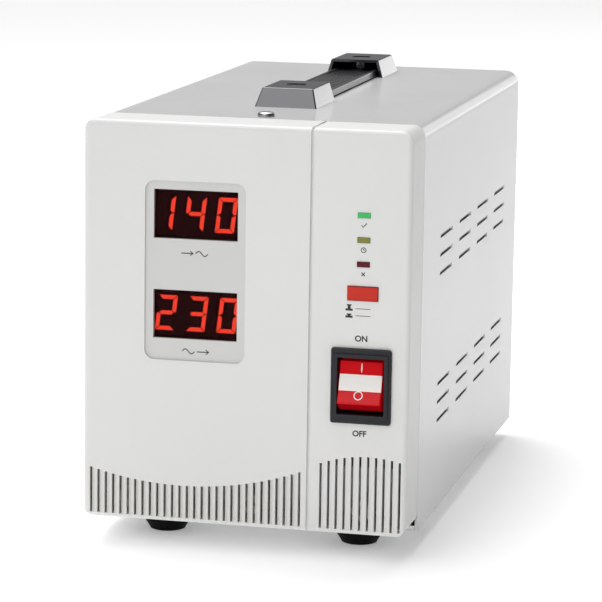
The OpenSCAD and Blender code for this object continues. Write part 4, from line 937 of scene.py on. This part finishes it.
    @staticmethod
    def done(piece: bpy.types.Object, finish: Finish, body: Body, slot: str, *stands_for: str,
             smooth: float = 30) -> None:
        """Dresses a finished piece and hands it to its body.

        Args:
            piece: The piece.
            finish: Its finish.
            body: The body that it rides on.
            slot: The record's material slot; not used.
            stands_for: CAD nodes that it replaces.
            smooth: Edges flatter than this many degrees are shaded smooth.
        """
        Bench.pick(piece)
        bpy.ops.object.shade_smooth_by_angle(angle=math.radians(smooth))
        Bench.modify(piece, "WEIGHTED_NORMAL", keep_sharp=True)
        if not piece.data.materials:
            piece.data.materials.append(finish.material())
        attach(piece, body.value)
        if stands_for:
            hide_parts(*stands_for)
        LOG.info("made %s: %d faces on %s", piece.name, len(piece.data.polygons), body.value)


@dataclass
class FrontPrint:
    """The black print on the front panel: the switch's words and plain signs, all in millimetres.

    A drawn line is a row of points in X and Z, counted from a place on its sign.
    """

    bench: Bench
    switch_x: float = 47.7
    on_z: float = 79.4
    off_z: float = 41.2
    on_left: float = 0.3
    off_left: float = 0.4
    capital_h: float = 2.35
    sign_x: float = 42.3
    lamp_signs_z: tuple[float, float, float] = (124.6, 114.8, 105.2)
    display_x: float = -20.6
    display_signs_z: Pair = (109.8, 70.2)
    line: float = 0.48
    thin_line: float = 0.384
    key_rows: tuple[Pair, ...] = ((90.5, 1.2), (87.7, 0.3))
    key_foot: Pair = (1.45, 0.85)
    key_neck: float = 0.6
    key_head: Pair = (0.95, 1.35)
    key_dash: tuple[Pair, ...] = ((2.6, 0.9), (8.6, 0.9))
    key_dash_w: float = 0.3
    tick: tuple[Pair, ...] = ((-1.0, 0.0), (-0.3, -0.75), (1.1, 0.8))
    hands: tuple[Pair, ...] = ((0.0, 0.55), (0.0, 0.0), (0.4, 0.0))
    clock_r: float = 0.95
    clock_points: int = 20
    cross_half: float = 0.7
    wave_x: Pair = (2.6, 2.5)
    wave_l: float = 5.0
    wave_r: float = 0.95
    arrow_x: Pair = (3.4, 2.4)
    shaft: tuple[Pair, ...] = ((0.0, 0.0), (4.8, 0.0))
    barbs: tuple[Pair, ...] = ((3.6, 0.9), (4.9, 0.0), (3.6, -0.9))
    recess_deep: float = 0.8

    def words(self) -> bpy.types.Object:
        """Prints ON and OFF above and below the switch.

        Returns:
            The joined words.
        """
        on_x, off_x = self.switch_x - self.on_left, self.switch_x - self.off_left
        on = self.bench.lettering("on_word", "ON", self.capital_h, on_x, 0, self.on_z)
        off = self.bench.lettering("off_word", "OFF", self.capital_h, off_x, 0, self.off_z)
        return self.bench.join("switch_words", on, off)

    def draw(self, name: str, points: Sequence[Pair], x: float, z: float, width: float, y: float = 0,
             ring: bool = False) -> bpy.types.Object:
        """Prints a line of a sign.

        Args:
            name: The line's name.
            points: X and Z of its points.
            x: Place across the case that they are counted from.
            z: Height that they are counted from.
            width: The line's width.
            y: The surface it is printed on.
            ring: Joins its last point to its first.

        Returns:
            The line.
        """
        return self.bench.stroke(name, [(x + dx, z + dz) for dx, dz in points], width, y, ring)

    def button_signs(self) -> bpy.types.Object:
        """Prints a raised key and a pressed key under the delay button.

        Returns:
            The joined signs.
        """
        x, lines = self.sign_x, []
        foot, high = self.key_foot
        head, top = self.key_head
        for z, neck in self.key_rows:
            for name, half, low, end in (("key_base", foot, 0, high),
                                         ("key_neck", self.key_neck, high, high + neck),
                                         ("key_head", head, high + neck, top + neck)):
                lines.append(self.bench.block(name, (x - half, -PRINT_T, z + low), (x + half, 0, z + end)))
            lines.append(self.draw("key_mark", self.key_dash, x, z, self.key_dash_w))
        return self.bench.join("button_signs", *lines)

    def lamp_signs(self) -> bpy.types.Object:
        """Prints a tick, a clock and a cross under the three lamps.

        Returns:
            The joined signs.
        """
        x, half = self.switch_x, self.cross_half
        tick_z, clock_z, cross_z = self.lamp_signs_z
        turns = [i * math.tau / self.clock_points for i in range(self.clock_points)]
        ring = [(self.clock_r * math.cos(turn), self.clock_r * math.sin(turn)) for turn in turns]
        lines = [self.draw("tick", self.tick, x, tick_z, self.line),
                 self.draw("clock", ring, x, clock_z, self.thin_line, ring=True),
                 self.draw("hands", self.hands, x, clock_z, self.thin_line)]
        for way in (-1, 1):
            bar = [(-half, -half * way), (half, half * way)]
            lines.append(self.draw("cross", bar, x, cross_z, self.line))
        return self.bench.join("lamp_signs", *lines)

    def display_signs(self) -> bpy.types.Object:
        """Prints a wave with an arrow going in, and one with an arrow coming out.

        Returns:
            The joined signs.
        """
        lines, steps = [], 16
        wave = [(i / steps * self.wave_l, self.wave_r * math.sin(i / steps * math.tau))
                for i in range(steps + 1)]
        for z, side in zip(self.display_signs_z, (-1, 1)):
            start = self.display_x - side * self.wave_x[0] - self.wave_x[1]
            tail = self.display_x + side * self.arrow_x[0] - self.arrow_x[1]
            for name, points, x in (("wave", wave, start), ("shaft", self.shaft, tail),
                                    ("head", self.barbs, tail)):
                lines.append(self.draw(name, points, x, z, self.line, self.recess_deep))
        return self.bench.join("display_signs", *lines)

    def build(self) -> None:
        """Makes all the print and dresses it."""
        for piece in (self.words(), self.button_signs(), self.lamp_signs(), self.display_signs()):
            Bench.done(piece, INK, Body.CASE, "switch_grey")


@dataclass
class PowerSwitch:
    """The rocker with a painted white glare band on its middle facet, its marks and its pins, in millimetres
    and degrees.
    """

    bench: Bench
    x: float = 47.7
    z: float = 60.5
    pivot_deep: float = 3.2
    width: float = 17.4
    tilt: float = 18.0
    facet_deep: float = 5.2
    facet_half: float = 3.3
    face_half: float = 8.6
    slope: float = 9.0
    back: float = 3.4
    skirt: float = 10.3
    back_half: float = 9.6
    nose: Pair = (2.6, 1.0)
    edge: float = 0.45
    painted_glare_reach: float = 0.4
    line_at: Pair = (0.2, 6.0)
    line_stretch: float = 7.2
    ring_at: Pair = (-0.4, -5.1)
    ring_r: Pair = (1.45, 1.83)
    mark_sunk: float = -0.02
    mark_out: float = 0.05
    line_r: Pair = (0.2, 0.26)
    pin_r: float = 1.45
    pin_out: float = 1.6
    pin_tip: Pair = (1.1, 0.3)

    def tilted(self, y: float, z: float) -> Pair:
        """Tilts a point of the level rocker into its ON rest.

        Args:
            y: Its depth from the pivot.
            z: Its height from the pivot.

        Returns:
            The tilted depth and height.
        """
        turn = math.radians(self.tilt)
        return y * math.cos(turn) + z * math.sin(turn), z * math.cos(turn) - y * math.sin(turn)

    def on_face(self, x: float, along: float, out: float) -> tuple[Vector, float]:
        """Finds a place on one of the rocker's facets.

        Args:
            x: Place across the rocker from its middle.
            along: Height on the level rocker.
            out: How far it stands out of the facet.

        Returns:
            The place in metres, and the turn about X that lays a piece on the facet, in degrees.
        """
        lean = 0.0 if abs(along) <= self.facet_half else math.copysign(self.slope, along)
        deep = self.facet_deep + max(0.0, abs(along) - self.facet_half) * math.tan(math.radians(self.slope))
        slant = math.radians(lean)
        y, z = self.tilted(-deep - out * math.cos(slant), along - out * math.sin(slant))
        return self.bench.spot(self.x + x, self.pivot_deep + y, self.z + z), 90 - self.tilt + lean

    def rocker(self) -> bpy.types.Object:
        """Draws the rocker's section edge by edge and rounds its edges.

        Returns:
            The rocker in its ON rest.
        """
        end = self.facet_deep + (self.face_half - self.facet_half) * math.tan(math.radians(self.slope))
        nose, cheek = self.nose
        level = [(-self.facet_deep, -self.facet_half), (-self.facet_deep, self.facet_half),
                 (-end, self.face_half), (-end + nose, self.skirt - cheek), (0, self.skirt),
                 (self.back, self.back_half), (self.back, -self.back_half), (0, -self.skirt),
                 (-end + nose, -self.skirt + cheek), (-end, -self.face_half)]
        piece = self.bench.drawn("rocker_key", [self.tilted(y, z) for y, z in level], -self.width / 2,
                                 self.width / 2)
        band = Vector(self.tilted(-self.facet_deep, 0)) * MM
        piece.data.materials.append(ROCKER.material())
        piece.data.materials.append(PRINT_AND_PAINTED_GLARE.material())
        # Faces near the middle facet take the painted white glare.
        for face in piece.data.polygons:
            away = (Vector((face.center.y, face.center.z)) - band).length
            face.material_index = int(away < self.painted_glare_reach * MM)
        self.bench.soften(piece, self.edge, 4, 20)
        return self.bench.settle(piece, self.bench.spot(self.x, self.pivot_deep, self.z))

    def pins(self) -> bpy.types.Object:
        """Makes the rocker's two pivot pins.

        Returns:
            The joined pins.
        """
        tip_r, tip = self.pin_tip
        pin = self.bench.turned("pivot_pins", [(tip_r, 0), (self.pin_r, tip), (self.pin_r, self.pin_out)], 24)
        length = self.width / 2 + self.pin_out
        place = self.bench.spot(self.x, self.pivot_deep, self.z)
        right = self.bench.settle(pin, turn=(0, -90, 0))
        left = self.bench.settle(self.bench.twin(right), turn=(0, 0, 180))
        self.bench.settle(right, place + Vector((length, 0, 0)) * MM)
        self.bench.settle(left, place - Vector((length, 0, 0)) * MM)
        return self.bench.join("pivot_pins", right, left)

    def marks(self) -> bpy.types.Object:
        """Makes the line and the ring on the rocker's end facets.

        Returns:
            The joined marks.
        """
        low, high = self.mark_sunk, self.mark_out
        narrow, wide = self.line_r
        place, lean = self.on_face(*self.line_at, 0.0)
        line = self.bench.turned("on_line", [(narrow, low), (wide, 0.0), (narrow, high)], 12)
        line.scale = (1, self.line_stretch, 1)
        line = self.bench.settle(line, place, (lean, 0, 0))
        place, lean = self.on_face(*self.ring_at, 0.0)
        inner, outer = self.ring_r
        rings = [(inner, low), (outer, low), (outer, high), (inner, high)]
        ring = self.bench.turned("off_ring", rings, 40, loop=True)
        ring = self.bench.settle(ring, place, (lean, 0, 0))
        return self.bench.join("rocker_marks", line, ring)

    def build(self) -> None:
        """Makes the rocker, its pins and its marks."""
        Bench.done(self.rocker(), ROCKER, Body.ROCKER, "rocker_red", "power_rocker")
        Bench.done(self.pins(), ROCKER, Body.ROCKER, "rocker_red")
        Bench.done(self.marks(), PRINT_AND_PAINTED_GLARE, Body.ROCKER, "rocker_red")


@dataclass
class DelayButton:
    """The orange-red delay button with softened edges, its flange and stem, in millimetres."""

    bench: Bench
    x: float = 47.7
    z: float = 97.5
    width: float = 12.0
    height: float = 5.4
    out: float = 0.8
    wall: float = 2.4
    back: float = 3.6
    lap: float = 0.3
    border: float = 0.45
    dish: float = 0.12
    flange_half: Pair = (7.2, 3.9)
    stem_half: Pair = (2.0, 1.25)
    stem_end: float = 7.6

    def build(self) -> None:
        """Makes the button."""
        lip = self.wall + self.lap
        cap = self.bench.block("delay_key", (self.x - self.width / 2, -self.out, self.z - self.height / 2),
                               (self.x + self.width / 2, lip, self.z + self.height / 2))
        front = self.bench.spot(0, -self.out, 0).y
        self.bench.choose(cap, "faces", lambda f: abs(f.calc_center_median().y - front) < SAME)
        bpy.ops.mesh.inset(thickness=self.border * MM)
        bpy.ops.transform.translate(value=(0, self.dish * MM, 0))
        self.bench.close()
        self.bench.soften(cap, 0.22, 3, 12)
        parts = [cap]
        for name, (wide, high), low, top in (("delay_flange", self.flange_half, lip, self.back),
                                             ("delay_stem", self.stem_half, self.back, self.stem_end)):
            parts.append(self.bench.block(name, (self.x - wide, low, self.z - high),
                                          (self.x + wide, top, self.z + high)))
            self.bench.soften(parts[-1], 0.2, 2)
        Bench.done(self.bench.join("delay_key", *parts), ORANGE, Body.DELAY, "button_orange", "delay_button")


@dataclass
class Handle:
    """The handle: two hollow caps and the ribbed strap between them, in millimetres."""

    bench: Bench
    low: float = 162.0
    foot_w: float = 26.2
    top_w: float = 21.6
    height: float = 7.8
    length: float = 34.5
    slope: float = 3.6
    mouth: float = 0.6
    wall: float = 1.2
    screw_inset: float = 19.5
    front: float = 64.5
    over: float = 168.5
    strap_w: float = 20.0
    strap_t: float = 3.2
    strap_low: float = 162.3
    strap_inset: float = 5.0
    ridge_half: float = 0.95
    ridge_high: float = 0.75
    ribs: int = 9
    ribs_inset: float = 2.1
    rib_top: float = 0.62
    rib_foot: float = 1.0
    recess_r: float = 3.9
    recess_z: float = -2.4
    rim_foot: float = 0.05
    rim_crest: Pair = (4.25, 0.16)
    rim_end: float = 4.6
    edge: float = 0.55
    boss_r: float = 4.9
    boss_z: float = -7.7
    bore_r: float = 2.1
    slot_r: float = 5.4
    slot_stretch: float = 1.28

    def cap(self) -> bpy.types.Object:
        """Makes the front cap: a tapered shell, open below and at its mouth, with a screw recess.

        Returns:
            The front cap.
        """
        bench = self.bench
        piece = bench.block("handle_cap", (-self.foot_w / 2, self.front, self.low),
                            (self.foot_w / 2, self.front + self.length, self.low + self.height))
        top = bench.spot(0, 0, self.low + self.height).z
        bench.choose(piece, "faces", lambda f: f.calc_center_median().z > top - SAME)
        middle = bench.spot(0, self.front + self.length / 2, self.low + self.height)
        bpy.ops.transform.resize(value=(self.top_w / self.foot_w,
                                        (self.length - self.slope - self.mouth) / self.length, 1),
                                 center_override=tuple(middle))
        bpy.ops.transform.translate(value=(0, (self.slope - self.mouth) / 2 * MM, 0))
        mouth = bench.spot(0, self.front + self.length - self.mouth, 0).y
        bench.choose(piece, "faces", lambda f: f.normal.z < -0.9 or f.calc_center_median().y > mouth - SAME)
        bpy.ops.mesh.delete(type="FACE")
        bench.close()
        bench.soften(piece, self.edge, 3)
        bench.modify(piece, "SOLIDIFY", thickness=self.wall * MM, offset=-1, use_even_offset=True)
        bench.soften(piece, 0.15, 2, 50)
        seat = bench.spot(0, self.front + self.screw_inset, self.low + self.height)
        inner, sunk, outer, foot, bore = self.recess_r, self.recess_z, self.boss_r, self.boss_z, self.bore_r
        bench.cut(piece, bench.settle(bench.turned("recess", [(inner, sunk), (inner, 3)]), seat))
        rings = [(inner, sunk), (inner, self.rim_foot), self.rim_crest, (self.rim_end, self.rim_foot),
                 (outer, -1.0), (outer, foot), (bore, foot), (bore, sunk)]
        rim = bench.settle(bench.turned("recess_rim", rings, loop=True), seat)
        return bench.join("handle_cap", piece, rim)

    def strap(self) -> bpy.types.Object:
        """Draws the strap's section: flat below, a round ridge along each side and fine ribs between.

        Returns:
            The strap with its two slotted holes.
        """
        half, top = self.strap_w / 2, self.strap_t
        wide, high = self.ridge_half, self.ridge_high
        upper: list[Pair] = [(-half, 0.3), (-half, top - high)]
        upper += [(-half + wide - wide * math.cos(a), top - high + high * math.sin(a))
                  for a in (0.7, 1.2, math.pi / 2, 2.0, 2.6)]
        edge = half - self.ribs_inset
        pitch = 2 * edge / self.ribs
        for i in range(self.ribs):
            start = -edge + i * pitch
            upper += [(start + 0.1 * pitch, top - self.rib_foot), (start + 0.3 * pitch, top - self.rib_top),
                      (start + 0.7 * pitch, top - self.rib_top), (start + 0.9 * pitch, top - self.rib_foot)]
        upper += [(-x, z) for x, z in reversed(upper[:7])]
        outline = [(-x, z) for x, z in [(-half + 0.3, 0), *upper, (half - 0.3, 0)]]
        near, far = self.front + self.strap_inset, self.front + self.over - self.strap_inset
        piece = self.bench.drawn("strap_band", outline, near, far)
        self.bench.settle(piece, self.bench.spot(0, 0, self.strap_low), (0, 0, 90))
        self.bench.soften(piece, 0.12, 2, 25)
        holes = []
        for y in (self.front + self.screw_inset, self.front + self.over - self.screw_inset):
            hole = self.bench.turned("slot", [(self.slot_r, -1), (self.slot_r, 5)], 32)
            hole.scale = (1, self.slot_stretch, 1)
            holes.append(self.bench.settle(hole, self.bench.spot(0, y, self.strap_low)))
        return self.bench.cut(piece, *holes)

    def build(self) -> None:
        """Makes both caps and the strap."""
        front = self.cap()
        rear = self.bench.twin(front)
        middle = self.bench.spot(0, self.front + self.over / 2, 0)
        self.bench.settle(rear, -Vector((middle.x, middle.y, 0)))
        self.bench.settle(rear, (middle.x, middle.y, 0), (0, 0, 180))
        front.name, rear.name = "front_cap_shell", "rear_cap_shell"
        Bench.done(front, HANDLE, Body.CASE, "handle_plastic", "handle_front_cap")
        Bench.done(rear, HANDLE, Body.CASE, "handle_plastic", "handle_rear_cap")
        Bench.done(self.strap(), STRAP, Body.STRAP, "strap_vinyl", "handle_strap", smooth=40)


@dataclass(frozen=True)
class ScrewSet:
    """One size of pan-head screw, where its seats lie and which way it points, in millimetres and degrees.

    Attributes:
        node: The CAD node that it replaces.
        name: The screw's name.
        head: Its head's radius.
        height: Its head's height.
        shank: Its shank's radius.
        length: Its shank's length.
        seat: Place of its seat, or of the zero of its places.
        turn: Its turn about X, Y and Z.
        places: Shift from the seat to each screw of the set.
    """

    node: str
    name: str
    head: float
    height: float
    shank: float
    length: float
    seat: Place
    turn: Place
    places: tuple[Place, ...] = ()


@dataclass
class Fasteners:
    """Cross-recessed screws that show on the outside."""

    bench: Bench
    sets: tuple[ScrewSet, ...] = (
        ScrewSet("rear_screws", "rear_screw", 3.3, 2.0, 1.68, 5.1, (0, 253.0, 0), (-90, 0, 0),
                 (*((side * 61.2, 0, z) for side in (-1, 1) for z in (19.44, 81.0, 142.56)),
                  *((side * 33.35, 0, 156.5) for side in (-1, 1)))),
        ScrewSet("outlet_screws", "outlet_screw", 2.4, 1.5, 1.18, 7.1, (0, 256.0, 0), (-90, 0, 0),
                 tuple((x + k * 21, 0, 112 - k * 21) for x in (-28, 28) for k in (-1, 1))),
        ScrewSet("cover_screw", "cover_screw_head", 3.5, 2.0, 1.58, 4.9, (0, 31.5, 162), (0, 0, 20)),
        ScrewSet("handle_screws", "handle_screw", 3.5, 1.9, 1.98, 12.9, (0, 0, 167.4), (0, 0, 35),
                 ((0, 84, 0), (0, 213.5, 0))),
        ScrewSet("base_screws", "base_screw", 3.3, 2.0, 1.68, 5.1, (0, 0, -3), (180, 0, 0),
                 tuple((side * 60.7, y, 0) for side in (-1, 1) for y in (60.3, 217.0))))

    def screw(self, kind: ScrewSet) -> bpy.types.Object:
        """Turns a pan head and its shank, and cuts a tapered cross into the head.

        Args:
            kind: The screw's sizes.

        Returns:
            The screw, with its head's seat at the origin, pointing down.
        """
        head, height, shank, length = kind.head, kind.height, kind.shank, kind.length
        rings = [(shank * 0.7, -length), (shank, -length + shank * 0.5), (shank, 0), (head * 0.94, 0),
                 (head, height * 0.12), (head, height * 0.42), (head * 0.93, height * 0.72),
                 (head * 0.74, height * 0.92), (head * 0.45, height)]
        screw = self.bench.turned(kind.name, rings, 32)
        slots = []
        for turn in (0, 90):
            bpy.ops.object.select_all(action="DESELECT")
            bpy.ops.mesh.primitive_cube_add(size=1, location=(0, 0, height * MM),
                                            scale=(head * 1.15 * MM, head * 0.2 * MM, height * 1.1 * MM))
            slot = bpy.context.object
            bpy.ops.object.transform_apply(location=True, rotation=True, scale=True)
            self.bench.choose(slot, "faces", lambda f: f.normal.z < -0.9)
            bpy.ops.transform.resize(value=(0.35, 0.6, 1), center_override=(0, 0, height * 0.45 * MM))
            self.bench.close()
            slots.append(self.bench.settle(slot, turn=(0, 0, turn)))
        return self.bench.cut(screw, *slots)

    def build(self) -> None:
        """Makes all the screws that show."""
        for kind in self.sets:
            piece = self.bench.settle(self.screw(kind), self.bench.spot(*kind.seat), kind.turn)
            if kind.places:
                piece = self.bench.copies(piece, kind.name + "_set", kind.places)
            Bench.done(piece, NICKEL, Body.CASE, "screw_steel", kind.node)


@dataclass
class Feet:
    """Four turned rubber feet with a rounded sole and a screw well, in millimetres."""

    bench: Bench
    x: float = 40.7
    front_y: float = 35.0
    rear_y: float = 222.0
    sole: float = -11.5
    top: float = -2.0
    top_r: float = 12.8
    sole_r: float = 7.6
    well_r: float = 4.4
    well_top: float = 5.5
    bore_r: float = 1.85

    def build(self) -> None:
        """Makes the feet."""
        high = self.top - self.sole
        rings = [(self.well_r, 0.3), (4.7, 0), (self.sole_r - 0.9, 0), (self.sole_r - 0.25, 0.25),
                 (self.sole_r, 0.9), (self.top_r - 0.35, high - 1.1), (self.top_r, high - 0.75),
                 (self.top_r, high), (self.bore_r, high), (self.bore_r, self.well_top),
                 (self.well_r, self.well_top)]
        foot = self.bench.turned("rubber_foot", rings, 56, loop=True)
        self.bench.settle(foot, self.bench.spot(0, 0, self.sole))
        places = [(side * self.x, y, 0) for side in (-1, 1) for y in (self.front_y, self.rear_y)]
        Bench.done(self.bench.copies(foot, "rubber_feet", places), RUBBER, Body.CASE, "foot_rubber", "feet")


@dataclass
class LouvreHems:
    """The turned-up lower edges of the louvres, which leave only a thin slit open, in millimetres."""

    bench: Bench
    side_x: float = 66.68
    first_y: float = 62.5
    pitch: float = 43.4
    per_row: int = 4
    rows_z: tuple[float, ...] = (94.25, 102.0, 109.75, 32.45, 40.2, 47.95)
    length: float = 27.0
    thick: float = 0.5
    low: float = -1.3
    high: float = 1.4
    rounding: float = 0.18

    def hems(self, side: int) -> bpy.types.Object:
        """Turns up the hems of one side, their top edges rounded.

        Args:
            side: -1 for the left side, 1 for the right.

        Returns:
            The side's hems.
        """
        near, far = sorted((side * self.side_x, side * (self.side_x - self.thick)))
        hem = self.bench.block("hem", (near, 0, self.low), (far, self.length, self.high))
        top = self.bench.spot(0, 0, self.high).z
        self.bench.choose(hem, "edges", lambda edge: all(abs(v.co.z - top) < SAME for v in edge.verts))
        bpy.ops.mesh.bevel(offset=self.rounding * MM, segments=3)
        self.bench.close()
        places = [(0, self.first_y + column * self.pitch, z)
                  for z in self.rows_z for column in range(self.per_row)]
        return self.bench.copies(hem, "hems", places)

    def build(self) -> None:
        """Makes the hems of both sides."""
        hems = self.bench.join("louvre_hems", self.hems(-1), self.hems(1))
        Bench.done(hems, PAINT, Body.CASE, "case_paint")


NODE_FINISHES: dict[Finish, tuple[str, ...]] = {
    PANEL: ("front_panel",),
    LENS: ("display_lenses",),
    DISPLAY: ("input_display", "output_display", "delay_switch_body", "breaker_body"),
    DIGIT: ("input_digits", "output_digits"),
    BOARD: ("display_board", "indicator_board", "relay_board"),
    LAMP_GREEN: ("working_lamp",),
    LAMP_YELLOW: ("delay_lamp",),
    LAMP_RED: ("abnormal_lamp",),
    ORANGE: ("delay_button",),
    SWITCH: ("power_switch_housing",),
    ROCKER: ("power_rocker",),
    PAINT: ("case_cover", "rear_panel"),
    ZINC: ("chassis", "clamp_plate", "board_bracket"),
    NICKEL: ("board_screws", "cover_screw", "panel_screws", "base_screws", "chassis_screws", "rear_screws",
             "handle_screws", "handle_nuts", "foot_screws", "clamp_bolt", "clamp_nut", "outlet_screws",
             "breaker_nut"),
    HANDLE: ("handle_front_cap", "handle_rear_cap"),
    STRAP: ("handle_strap",),
    RUBBER: ("feet", "transformer_pads"),
    CORE: ("transformer_core",),
    TAPE: ("transformer_winding",),
    BRASS: ("switch_terminals", "board_spacers", "board_tabs", "earth_stud", "outlet_earth_clips"),
    RELAY: ("relays",),
    CAPACITOR: ("capacitors",),
    CONNECTOR: ("board_connectors",),
    RIBBON: ("ribbon_cable",),
    WIRE_RED: ("tap_leads",),
    WIRE_BLUE: ("supply_leads",),
    WIRE_GREEN: ("earth_lead",),
    OUTLET: ("left_outlet", "right_outlet", "cord_bush"),
    IVORY: ("breaker_button",),
}


def main() -> None:
    """Builds the scene."""
    logging.basicConfig(level=logging.INFO, format="%(message)s")
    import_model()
    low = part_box("front_panel")[0]
    zero = Vector((0, low.y, low.z))
    Studio(zero).build()
    for finish, names in NODE_FINISHES.items():
        finish.dress(*names)
        LOG.info("%s on %d nodes", finish.name, len(names))
    bench = Bench(zero)
    for assembly in (FrontPrint(bench), PowerSwitch(bench), DelayButton(bench), Handle(bench),
                     Fasteners(bench), Feet(bench), LouvreHems(bench)):
        assembly.build()


if __name__ == "__main__":
    main()
